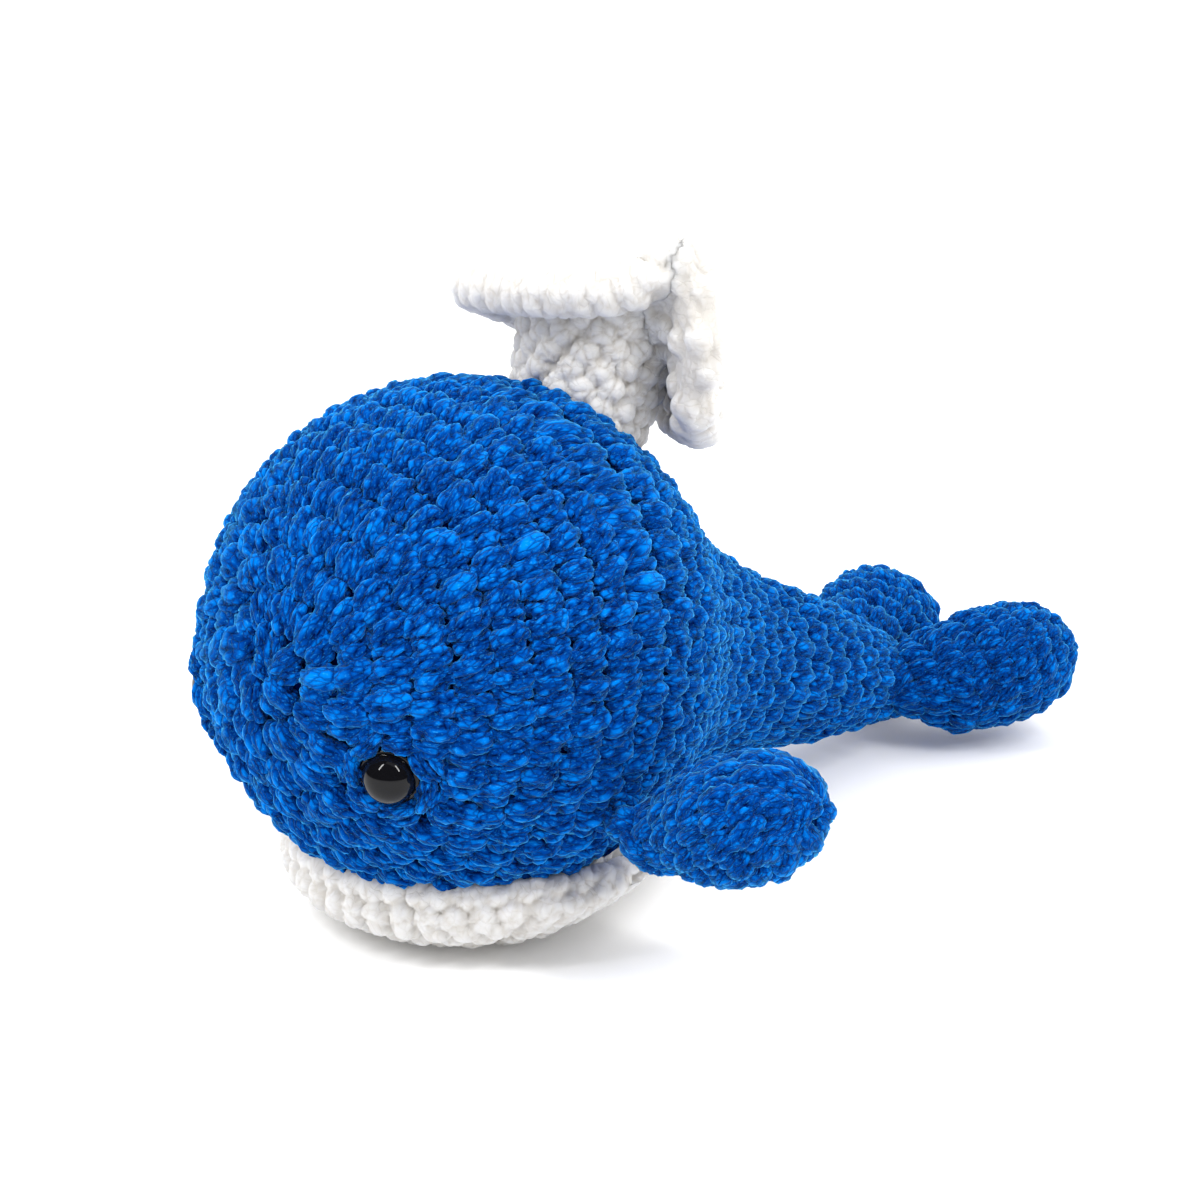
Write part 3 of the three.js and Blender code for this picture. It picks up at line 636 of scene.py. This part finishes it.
def single_crochet(main_sides, main_rings, low_sides, low_rings):
    """A fat strand that rises across the cell, and a thinner one below it."""
    return stitch_object("single_crochet", [
        ([(-0.52, -0.08, -0.3), (-0.22, 0.0, 0.02), (0.2, 0.2, 0.06), (0.52, 0.34, -0.28)],
         [0.33, 0.41, 0.42, 0.34], main_sides, main_rings),
        ([(-0.5, -0.38, -0.3), (-0.15, -0.38, -0.03), (0.2, -0.31, -0.01), (0.5, -0.2, -0.3)],
         [0.3, 0.37, 0.37, 0.3], low_sides, low_rings),
    ])


eye_azimuths = {1: math.radians(30.6), -1: math.radians(46)}
eye_elevation = math.radians(-11.4)
eye_ring_radius = 0.0079
eye_ring_stitches = 7
eye_ring_size = (0.0073, 0.0054, 0.0062)
eye_ring_sinks = {1: 0.0022, -1: 0.0002}
eye_cleared_reach = 0.0071
eye_crowd_start = 0.0114
eye_crowd_reach = 0.0140


def eye_seat(side):
    """The place of an eye on the head, and the direction it faces."""
    azimuth = eye_azimuths[side]
    way = np.array([math.cos(eye_elevation) * math.cos(azimuth),
                    side * math.cos(eye_elevation) * math.sin(azimuth), math.sin(eye_elevation)])
    ahead = way @ nose_direction
    aside = way - ahead * nose_direction
    reach = 1 / math.sqrt((ahead / nose_length) ** 2 + aside @ aside / head_radius ** 2)
    outward = ahead / nose_length ** 2 * nose_direction + aside / head_radius ** 2
    return head_centre + reach * way, unit(outward)


def round_the_eyes(stitches):
    """Clears the stitches under each eye, crowds the next ones back and sets a ring of stitches there."""
    for side in (1, -1):
        seat, facing = eye_seat(side)
        offset = stitches["here"] - seat
        depth = offset @ facing
        offset -= depth[:, None] * facing
        apart = np.linalg.norm(offset, axis=1)
        near = (apart < eye_crowd_reach) & (depth > -head_radius / 2)
        moved = np.interp(apart, [eye_cleared_reach, eye_crowd_reach], [eye_crowd_start, eye_crowd_reach])
        push = np.where(near, moved / np.maximum(apart, least_length) - 1, 0)
        stitches["here"] = stitches["here"] + push[:, None] * offset
        across = unit(np.cross(facing, leftward))
        angle = (np.arange(eye_ring_stitches)[:, None] + 0.5) / eye_ring_stitches * 2 * math.pi
        way = np.cos(angle) * across + np.sin(angle) * np.cross(facing, across)
        place = seat + eye_ring_radius * way
        outward = unit(place - head_centre)
        fall = eye_ring_radius ** 2 / (2 * head_radius)
        ring = {"here": place - fall * facing - eye_ring_sinks[side] * outward,
                "onward": np.cross(facing, way), "outward": outward,
                "stitch_size": np.tile(eye_ring_size, (eye_ring_stitches, 1)),
                "stitch_roughness": np.ones(eye_ring_stitches)}
        outside = ~(near & (apart < eye_cleared_reach))
        stitches = {key: np.concatenate([values[outside], ring[key]]) for key, values in stitches.items()}
    return stitches


def body_width(row):
    share = np.clip((row - tail_width_start) / (body_panel.length - tail_width_start), 0, 1)
    return body_stitch_width + (tail_stitch_width - body_stitch_width) * min(1.0, share * tail_width_rate)


def body_roughness(rows):
    """One over the head and less towards the end of the tail, where the stitches are smoother."""
    return 1 - tail_smoothness * np.clip((rows - tail_smooth_start) / tail_smooth_run, 0, 1)


chance = np.random.default_rng(3)
seed_range = 10


def crochet_stitches(panel, pitch, width_at, slant, first_row, seed, depth, sink, least, size_spread,
                     lean_degrees, roughness_at, step=near_step):
    """The place, ways, size and roughness of every stitch on a cover, each a little uneven by chance."""
    rows, turns, widths = spiral_stitches(
        panel, pitch, width_at, slant, first_row, panel.length - last_row_gap, seed, closed=True)
    here, onward, outward, reach, girth = panel.frame_at(rows, turns, step)
    sizes = np.stack([reach * pitch * stitch_overlap, girth * widths, np.full(len(rows), depth)], 1)
    sizes = np.maximum(sizes, least) * chance.uniform(1 - size_spread, 1 + size_spread, (len(rows), 3))
    lean = chance.normal(0, math.radians(lean_degrees), len(rows))[:, None]
    onward = np.cos(lean) * onward + np.sin(lean) * np.cross(outward, onward)
    return {"here": here - sink * outward, "onward": onward, "outward": outward, "stitch_size": sizes,
            "stitch_roughness": roughness_at(rows)}


def crocheted(name, stitches, stitch, lining, fineness, lumps, crinkles):
    """A blue cover made of its stitches, over a lining."""
    stitches["stitch_seed"] = chance.uniform(0, seed_range, len(stitches["here"]))
    return made_by(crochet, points_object("stitch_places", **stitches), name, {
        "Stitch": stitch, "Lining": lining, "Fineness": fineness, "Lump Size": lumps[0],
        "Lump Depth": lumps[1], "Crinkle Size": crinkles[0], "Crinkle Depth": crinkles[1],
        "Yarn": blue_chenille})


body = crocheted(
    "body_crochet", round_the_eyes(crochet_stitches(
        body_panel, body_round_pitch, body_width, slant=-0.25, first_row=0.0037, seed=11, depth=0.0068,
        sink=0.0025, least=0.006, size_spread=0.07, lean_degrees=5, roughness_at=body_roughness,
        step=body_round_pitch / 2)),
    single_crochet(main_sides=8, main_rings=3, low_sides=6, low_rings=3),
    lining_of(body_panel, depth=0.0031, grid=(90, 64)), fineness=2, lumps=(0.0040, 0.0012),
    crinkles=(0.0021, 0.0004))
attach(body, "body")
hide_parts("body_cover")

# Belly patch. A white crocheted dish, thick and soft, sewn under the head. The whale lies on it, so
# its first rounds are pressed flat on the floor and only its last ones show round the side.
patch_round_pitch = 0.0047
patch_stitch_width = 0.0051
patch_eye_height = 0.026
patch_setback = 0.008
patch_top_angle = math.radians(82)
patch_ray_reach = 0.2
patch_ray_steps = 200
patch_smoothings = 3


def patch_table(turns, steps):
    """The outside of the belly patch, seen from a point inside the head: rings of points."""
    tree = BVHTree.FromObject(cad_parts["belly_patch"], bpy.context.evaluated_depsgraph_get())
    eye = Vector((-patch_setback, 0, patch_eye_height))
    table = np.zeros((steps, turns, 3))
    for a in range(turns):
        angle = a / turns * 2 * math.pi
        found = []
        for dip in np.linspace(0, patch_top_angle, patch_ray_steps):
            way = Vector((math.sin(dip) * math.cos(angle), math.sin(dip) * math.sin(angle), -math.cos(dip)))
            hit = tree.ray_cast(eye + way * patch_ray_reach, -way)[0]
            if hit:
                found.append(hit)
        found = np.array(found)
        run = run_up(np.diff(found, axis=0))
        spots = np.linspace(0, run[-1], steps)
        table[:, a] = np.stack([np.interp(spots, run, found[:, k]) for k in range(3)], 1)
    for _ in range(patch_smoothings):
        table[1:-1] = (table[:-2] + 2 * table[1:-1] + table[2:]) / 4
        table = (np.roll(table, 1, 1) + 2 * table + np.roll(table, -1, 1)) / 4
    return table


patch_rings = patch_table(turns=96, steps=72)
patch_run = run_up(np.linalg.norm(np.diff(patch_rings, axis=0), axis=2).mean(1))


def patch_place(rows, turns):
    """Places on the patch, read between the points of its table."""
    around = patch_rings.shape[1]
    spot = np.interp(rows, patch_run, np.arange(len(patch_run)))
    low = np.clip(spot.astype(int), 0, len(patch_run) - 2)
    share = (spot - low)[:, None]
    turn = (turns % 1) * around
    left = turn.astype(int) % around
    right = (left + 1) % around
    blend = (turn - turn.astype(int))[:, None]
    below = patch_rings[low, left] * (1 - blend) + patch_rings[low, right] * blend
    above = patch_rings[low + 1, left] * (1 - blend) + patch_rings[low + 1, right] * blend
    return below * (1 - share) + above * share


patch_panel = Panel(patch_place, patch_run[-1])
swell_shade_share = 0.75


def popcorn_tree():
    """Swells a closed skin into one soft lump per stitch place, with crinkles on every lump."""
    tree, given = new_tree("popcorn_stitches", {
        "Stitch Places": "Object", "Lump Radius": "Float", "Lump Height": "Float", "Crinkle Size": "Float",
        "Crinkle Depth": "Float", "Yarn": "Material"})
    here = tree.nodes.new("GeometryNodeInputPosition").outputs[0]
    placed = kept(tree, given["Geometry"], "yarn_place", here, "FLOAT_VECTOR")
    places = add_node(tree, "GeometryNodeObjectInfo", {"Object": given["Stitch Places"]})
    near = add_node(tree, "GeometryNodeProximity", {0: places.outputs["Geometry"]}, target_element="POINTS")
    apart = maths(tree, "DIVIDE", near.outputs["Distance"], given["Lump Radius"])
    share = maths(tree, "MINIMUM", apart, 1.0)
    round_top = maths(tree, "SQRT", maths(tree, "SUBTRACT", 1.0, maths(tree, "MULTIPLY", share, share)))
    masked = kept(tree, placed, "swell", round_top)
    swell = attribute_of(tree, "swell", "FLOAT")
    normal = tree.nodes.new("GeometryNodeInputNormal").outputs[0]
    push = scaled(tree, normal, maths(tree, "MULTIPLY", swell, given["Lump Height"]))
    puffed = add_node(tree, "GeometryNodeSetPosition", {"Geometry": masked, "Offset": push})
    lumpy, crest = crinkled(tree, puffed.outputs[0], attribute_of(tree, "yarn_place"), given["Crinkle Size"],
                            given["Crinkle Depth"])
    # Painted shade between the lumps: the crease mask is lowered where the swell falls off, so the yarn is
    # darker there.
    tone = maths(tree, "ADD", 1 - swell_shade_share, maths(tree, "MULTIPLY", swell, swell_shade_share))
    both = maths(tree, "MULTIPLY", crest, tone)
    finished(tree, kept(tree, lumpy, "crease", both), given["Yarn"])
    return tree


popcorn = popcorn_tree()
# White yarn. Its darkest colour is painted shade in the creases, its palest a painted highlight on the
# crests, and its rim colour a painted sheen and painted glints.
white_chenille = chenille(
    "white_chenille", crease_shade=(0.58, 0.555, 0.52, 1), middle=(0.64, 0.63, 0.615, 1), pale=(0.65, 0.645, 0.64, 1),
    rim=(0.67, 0.665, 0.66, 1), painted_sheen_share=0.3, glint_share=0.3, crease_size=0.0016, bump_depth=0.0001,
    sheen=0.02, sheen_tint=(1, 1, 1, 1), gloss=0.03, glow=0.6)


def popcorned(name, rings, poles, places, lump_radius, lump_height):
    """A white piece swollen out of a skin, with a lump at every stitch place."""
    return made_by(popcorn, rings_object("skin", rings, poles), name, {
        "Stitch Places": points_object("stitch_places", np.concatenate(places)), "Lump Radius": lump_radius,
        "Lump Height": lump_height, "Crinkle Size": 0.0034, "Crinkle Depth": 0.0006, "Yarn": white_chenille})


patch_sink = 0.0012
patch_thickness = 0.006
patch_turns = 400
patch_ring_count = 92
patch_start_row = 0.0008
patch_rim_back = 0.0006
patch_rim_steps = 9
patch_rim_tilts = (0.7, 1.8, 2.9)
patch_rim_counts = (54, 51, 48)
patch_rows = np.linspace(patch_start_row, patch_panel.length, patch_ring_count)
rim_here, rim_onward, rim_outward = patch_panel.ring_at(patch_rows[-1] - patch_rim_back, patch_turns)


def patch_rim(turn):
    """The patch's round edge, from its outside where turn is nought to its inside at half a turn."""
    return rim_here - patch_sink * rim_outward + patch_thickness / 2 * (
        math.sin(turn) * rim_onward - (1 - math.cos(turn)) * rim_outward)


rings = [skin_ring(patch_panel, row, patch_turns, -patch_sink) for row in patch_rows]
rings += [patch_rim(turn) for turn in np.linspace(0, math.pi, patch_rim_steps)[1:-1]]
rings += [skin_ring(patch_panel, row, patch_turns, -patch_sink - patch_thickness) for row in patch_rows[::-3]]
rows, turns, _ = spiral_stitches(
    patch_panel, patch_round_pitch, lambda row: patch_stitch_width, slant=0.3, first_row=0.003,
    last_row=patch_panel.length, seed=5)
places = [patch_panel.place(rows, turns)]
for tilt, count in zip(patch_rim_tilts, patch_rim_counts):
    spots = (np.arange(count) + tilt) / count * patch_turns
    places.append(patch_rim(tilt)[spots.astype(int) % patch_turns])
patch = popcorned("belly_patch_crochet", rings, (rings[0].mean(0), rings[-1].mean(0)), places,
                  lump_radius=0.0031, lump_height=0.002)
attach(patch, "body")
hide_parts("belly_patch", "belly_seam")

# Spout. A white crocheted tube sewn on top of the head, leaning back, that opens into a long brim.
# The brim ruffles: it curls over in front, stands up in a fold at the left and hangs down behind.
spout_seat_reach = 0.031
spout_lean = math.radians(20)
spout_foot_radius = 0.0104
spout_neck_radius = 0.0124
spout_height = 0.0145
spout_brim_length = 0.022
spout_tuck = 0.005
spout_round_pitch = 0.0041
spout_stitch_width = 0.0045
spout_start_row = 0.0006
spout_half_thickness = 0.0022
spout_roll_radius = 0.0034
spout_roll_run = 0.007
spout_roll_overhang = 0.001
spout_turns = 360
spout_ring_count = 84
spout_rim_steps = 15
spout_rim_tilts = (-0.9, 0.0, 0.9)
spout_rim_counts = (34, 37, 34)
# Turn share from the front to the left, share of a half turn that the brim bends by, length share, how
# far its fold stands above the tube, and the radius it bends on
spout_brim_shares = [
    (0, 0.56, 0.62, 0.003, 0.0041), (0.06, 0.55, 0.6, 0.0043, 0.0041), (0.12, 0.53, 0.58, 0.0062, 0.0041),
    (0.165, 0.43, 0.62, 0.008, 0.0041), (0.195, 0.26, 0.8, 0.0078, 0.0041),
    (0.225, 0.48, 0.92, 0.004, 0.0046), (0.26, 0.81, 1.08, -0.0005, 0.005),
    (0.31, 0.94, 1.18, -0.002, 0.0052), (0.38, 0.975, 1.2, -0.002, 0.0053),
    (0.46, 0.93, 1.14, -0.0015, 0.0048), (0.55, 0.72, 0.95, 0, 0.0044), (0.65, 0.57, 0.84, 0.001, 0.0041),
    (0.75, 0.55, 0.76, 0.0015, 0.0041), (0.875, 0.55, 0.76, 0.0024, 0.0041)]
spout_foot = Vector((-spout_seat_reach, 0, head_height + math.sqrt(
    head_radius ** 2 - spout_seat_reach ** 2 - spout_foot_radius ** 2)))
spout_run = spout_height + spout_tuck + spout_brim_length
spout_flare = math.atan2(spout_neck_radius - spout_foot_radius, spout_height)


def round_and_round(table, column, turns):
    """A smooth value round a closed turn."""
    turn = [t for t, *_ in table]
    value = [row[column] for row in table]
    turn = [t - 1 for t in turn[-3:]] + turn + [t + 1 for t in turn[:4]]
    value = value[-3:] + value + value[:4]
    return smooth_through(turn, value, turns % 1)


def spout_place(rows, turns):
    """Places on the spout, from its foot up the tube, over the bend and out to the brim's edge."""
    bend, length, rise, bend_radius = (round_and_round(spout_brim_shares, k, turns) for k in range(1, 5))
    bend = bend * math.pi
    tube = (spout_height + rise) / math.cos(spout_flare) + spout_tuck
    run = rows / spout_run * (tube + length * spout_brim_length)
    curl = bend_radius * (bend - spout_flare)
    turned = spout_flare + np.clip((run - tube) / np.maximum(curl, least_length), 0, 1) * (bend - spout_flare)
    past = np.maximum(run - tube - curl, 0)
    low = np.minimum(run, tube) - spout_tuck
    radius = (spout_foot_radius + np.maximum(low, 0) * math.sin(spout_flare)
              + bend_radius * (math.cos(spout_flare) - np.cos(turned)) + np.sin(bend) * past)
    height = (low * math.cos(spout_flare)
              + bend_radius * (np.sin(turned) - math.sin(spout_flare)) + np.cos(bend) * past)
    azimuth = turns * 2 * math.pi
    x, y = radius * np.cos(azimuth), radius * np.sin(azimuth)
    lean_x = x * math.cos(spout_lean) - height * math.sin(spout_lean)
    lean_z = x * math.sin(spout_lean) + height * math.cos(spout_lean)
    return np.stack([lean_x + spout_foot.x, y, lean_z + spout_foot.z], 1)


spout_panel = Panel(spout_place, spout_run)
spout_rows = np.linspace(
    spout_start_row, spout_run - spout_roll_radius + spout_roll_overhang, spout_ring_count)


def spout_half(row):
    """Half the thickness of the crochet, which rolls up on itself along the brim's edge."""
    share = np.clip((row - spout_rows[-1]) / spout_roll_run + 1, 0, 1)
    return spout_half_thickness + (spout_roll_radius - spout_half_thickness) * share ** 2 * (3 - 2 * share)


def rim_rings(row, half, way):
    """The brim's round edge, from its outside to its inside where way is 1, and the foot's where it is -1."""
    here, onward, outward = spout_panel.ring_at(row, spout_turns)
    return [here + half * (math.sin(turn) * way * onward + math.cos(turn) * way * outward)
            for turn in np.linspace(0, math.pi, spout_rim_steps)[1:-1]]


rings = [skin_ring(spout_panel, row, spout_turns, spout_half(row)) for row in spout_rows]
rings += rim_rings(spout_rows[-1], spout_roll_radius, 1)
rings += [skin_ring(spout_panel, row, spout_turns, -spout_half(row)) for row in spout_rows[::-1]]
rings += rim_rings(spout_rows[0], spout_half_thickness, -1)
places = []
for side, seed in ((1, 8), (-1, 9)):
    rows, turns, _ = spiral_stitches(
        spout_panel, spout_round_pitch, lambda row: spout_stitch_width, slant=0.4, first_row=0.002,
        last_row=spout_rows[-1] - last_row_gap, seed=seed)
    here, _, outward, _, _ = spout_panel.frame_at(rows, turns)
    places.append(here + side * spout_half(rows)[:, None] * outward)
for tilt, count in zip(spout_rim_tilts, spout_rim_counts):
    here, onward, outward, _, _ = spout_panel.frame_at(
        np.full(count, spout_rows[-1]), (np.arange(count) + tilt) / count)
    places.append(here + spout_roll_radius * (math.cos(tilt) * onward + math.sin(tilt) * outward))
spout = popcorned("spout_crochet", rings, None, places, lump_radius=0.0029, lump_height=0.0019)
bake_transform(spout)
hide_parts("spout", "spout_seam")

# Fins and flukes. Four small blue covers, worked from a ring at the far end to the root and stuffed
# like the body. Each is sewn on by its open root.
# Lengths are in metres, yaw and pitch in degrees for the left and the right one.
limb_least_size = (0, 0.0046, 0)
limb_roughness = 0.7
limb_steps = 60
tuck_steps = 12
tuck_narrowing = 0.35
limbs = {
    "fin": dict(
        root=(0.002691, 0.051491, 0.030063), yaw=(100, 118), pitch=(22, 14), length=0.038, half_width=0.0136,
        half_thickness=0.0116, root_radius=0.0065, widest=0.62, swell=(0.38, 0.5), round_pitch=0.0056,
        stitch=0.0055, tuck=0.014, tuck_aim=(0.004, 0.0385, 0.034)),
    "fluke": dict(
        root=(-0.134973, 0.013560, 0.0155), yaw=(151, 159), pitch=(11, 6), length=0.0295, half_width=0.0148,
        half_thickness=0.0132, root_radius=0.0122, widest=0.44, swell=(0.4, 0.6), round_pitch=0.0052,
        stitch=0.0052, tuck=0.016, tuck_aim=(-0.119, 0.0035, 0.0155)),
}


def limb_panel(limb, side):
    """A limb's cover from the far end to the root, the root's place, and the way the limb points."""
    widest = limb["length"] * limb["widest"]
    end_turn = np.linspace(0, math.pi / 2, limb_steps)
    far = widest + (limb["length"] - widest) * np.cos(end_turn)
    far_radius = limb["half_width"] * np.sin(end_turn)
    t = np.linspace(1, 0, limb_steps)[1:]
    knots = [(0, limb["root_radius"]), (widest * limb["swell"][0], limb["root_radius"]),
             (widest * (1 - limb["swell"][1]), limb["half_width"]), (widest, limb["half_width"])]
    weights = [(1 - t) ** 3, 3 * t * (1 - t) ** 2, 3 * t ** 2 * (1 - t), t ** 3]
    near = sum(w * x for w, (x, _) in zip(weights, knots))
    near_radius = sum(w * r for w, (_, r) in zip(weights, knots))
    along = np.concatenate([far, near, np.linspace(0, -limb["tuck"], tuck_steps)[1:]])
    tuck_radius = limb["root_radius"] * np.linspace(1, tuck_narrowing, tuck_steps - 1)
    radius = np.concatenate([far_radius, near_radius, tuck_radius])
    run = run_up(np.hypot(np.diff(along), np.diff(radius)))
    hand = 0 if side > 0 else 1
    yaw, pitch = math.radians(limb["yaw"][hand]), math.radians(limb["pitch"][hand])
    level = math.cos(pitch)
    axis = np.array([level * math.cos(yaw), side * level * math.sin(yaw), math.sin(pitch)])
    across = unit(np.array([1.0, 0, 0]) - axis[0] * axis)
    depth = np.cross(across, axis)
    root = np.array(limb["root"]) * np.array([1, side, 1])
    tuck_way = np.array(limb["tuck_aim"]) * np.array([1, side, 1]) - root

    def place(rows, turns):
        x = np.interp(rows, run, along)
        r = np.interp(rows, run, radius)
        ease = np.clip(x / widest, 0, 1)
        ease = ease ** 2 * (3 - 2 * ease)
        flat = 1 + (limb["half_thickness"] / limb["half_width"] - 1) * ease
        angle = turns * 2 * math.pi
        tucked = np.clip(-x / limb["tuck"], 0, 1)
        centre = root + np.maximum(x, 0)[:, None] * axis + tucked[:, None] * tuck_way
        return (centre + (r * np.cos(angle))[:, None] * across
                + (r * flat * np.sin(angle))[:, None] * depth)

    return Panel(place, run[-1]), root, axis


for name, limb in limbs.items():
    for hand, side in (("left", 1), ("right", -1)):
        panel, root, axis = limb_panel(limb, side)
        cover = crocheted(
            f"{name}_{hand}_crochet", crochet_stitches(
                panel, limb["round_pitch"], lambda row: limb["stitch"], slant=-0.25, first_row=0.003, seed=21,
                depth=limb["stitch"], sink=0.0016, least=limb_least_size, size_spread=0.1, lean_degrees=10,
                roughness_at=lambda rows: np.full(len(rows), limb_roughness)),
            single_crochet(main_sides=12, main_rings=5, low_sides=8, low_rings=4),
            lining_of(panel, depth=0.0026, grid=(40, 40)), fineness=1, lumps=(0.0036, 0.0011),
            crinkles=(0.0020, 0.0004))
        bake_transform(cover)
        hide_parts(f"{name}_{hand}_cover", f"{name}_{hand}_seam")

# Eyes. Two glossy black safety eyes: a dome on a thin flange, with a shank that goes through the
# cover to its washer. They are moulded plastic, pressed in before the head is stuffed.
eye_radius = 0.0049
eye_dome_height = 0.0044
eye_dome_steps = 16
eye_flange_radius = 0.0057
eye_flange_thickness = 0.0008
eye_shank_radius = 0.0016
eye_shank_length = 0.0115
eye_sink = 0.0022
eye_under_bevel = 0.0003
eye_over_bevel = 0.0002


def eye_outline():
    """Radius and height of an eye, from the shank's end up over the flange to the top of the dome."""
    inner = eye_flange_radius - eye_under_bevel
    points = [(0, -eye_shank_length), (eye_shank_radius, -eye_shank_length), (eye_shank_radius, 0),
              (inner, 0), (eye_flange_radius, eye_under_bevel),
              (eye_flange_radius, eye_flange_thickness - eye_over_bevel), (inner, eye_flange_thickness)]
    for turn in np.linspace(0, math.pi / 2, eye_dome_steps + 1):
        points.append((eye_radius * math.cos(turn), eye_flange_thickness + eye_dome_height * math.sin(turn)))
    return points


eye_plastic, _, _ = material_of("black_eye_plastic", {
    "Base Color": (0.004, 0.004, 0.005, 1), "Roughness": 0.04, "Specular IOR Level": 0.2})
for hand, side in (("left", 1), ("right", -1)):
    seat, facing = (Vector(value) for value in eye_seat(side))
    shape = bmesh.new()
    rim = [shape.verts.new((radius, 0, height)) for radius, height in eye_outline()]
    for a, b in zip(rim, rim[1:]):
        shape.edges.new((a, b))
    bmesh.ops.spin(shape, geom=shape.verts[:] + shape.edges[:], cent=(0, 0, 0), axis=(0, 0, 1),
                   angle=2 * math.pi, steps=48)
    bmesh.ops.remove_doubles(shape, verts=shape.verts, dist=1e-6)
    bmesh.ops.recalc_face_normals(shape, faces=shape.faces)
    for part in shape.faces:
        part.smooth = True
    turn = facing.to_track_quat("Z", "Y").to_matrix().to_4x4()
    shape.transform(Matrix.Translation(seat - eye_sink * facing) @ turn)
    mesh = bpy.data.meshes.new(f"eye_{hand}_dome")
    shape.to_mesh(mesh)
    shape.free()
    mesh.materials.append(eye_plastic)
    eye = mesh_object(f"eye_{hand}_dome", mesh)
    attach(eye, f"eye_{hand}")
    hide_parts(f"eye_{hand}")

# Stuffing. White polyester fibrefill, one mass in each closed cover, pushed in before the last round
# is closed. It is the CAD's own shape, hidden inside.


def mottled(tree, shader, scale, detail, dark, pale):
    """Colours a hidden piece in soft blotches between two tones, and gives back the blotches."""
    place = add_node(tree, "ShaderNodeTexCoord").outputs["Object"]
    blotches = add_node(tree, "ShaderNodeTexNoise", {
        "Vector": place, "Scale": scale, "Detail": detail}).outputs[0]
    tone = add_node(tree, "ShaderNodeValToRGB", {0: blotches})
    tone.color_ramp.elements[0].color = dark
    tone.color_ramp.elements[1].color = pale
    fill_inputs(tree, shader, {"Base Color": tone.outputs[0]})
    return blotches


def put_on(ending, material):
    """Gives a material to the CAD's own hidden pieces."""
    for name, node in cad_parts.items():
        if name.endswith(ending):
            node.data.materials.clear()
            node.data.materials.append(material)


fibrefill, fill_tree, fill_shader = material_of("white_fibrefill", {"Sheen Weight": 0.3, "Roughness": 0.9})
fill_wisps = mottled(fill_tree, fill_shader, scale=400.0, detail=6.0, dark=(0.75, 0.75, 0.74, 1),
                     pale=(0.93, 0.93, 0.92, 1))
fill_bump = add_node(fill_tree, "ShaderNodeBump", {"Strength": 1.0, "Distance": 0.0006, "Height": fill_wisps})
fill_inputs(fill_tree, fill_shader, {"Normal": fill_bump.outputs[0]})
put_on("_stuffing", fibrefill)

# Washers. Two translucent white moulded discs that clip on the eyes' shanks inside the head. They
# are the CAD's own shapes, hidden like the stuffing.
washer_plastic, washer_tree, washer_shader = material_of("washer_plastic", {
    "Subsurface Weight": 0.3, "Subsurface Scale": 0.001})
washer_flow = mottled(washer_tree, washer_shader, scale=900.0, detail=2.0, dark=(0.78, 0.79, 0.8, 1),
                      pale=(0.88, 0.89, 0.9, 1))
washer_rough = add_node(washer_tree, "ShaderNodeMapRange", {
    "Value": washer_flow, "To Min": 0.3, "To Max": 0.5})
fill_inputs(washer_tree, washer_shader, {"Roughness": washer_rough.outputs["Result"]})
put_on("_washer", washer_plastic)
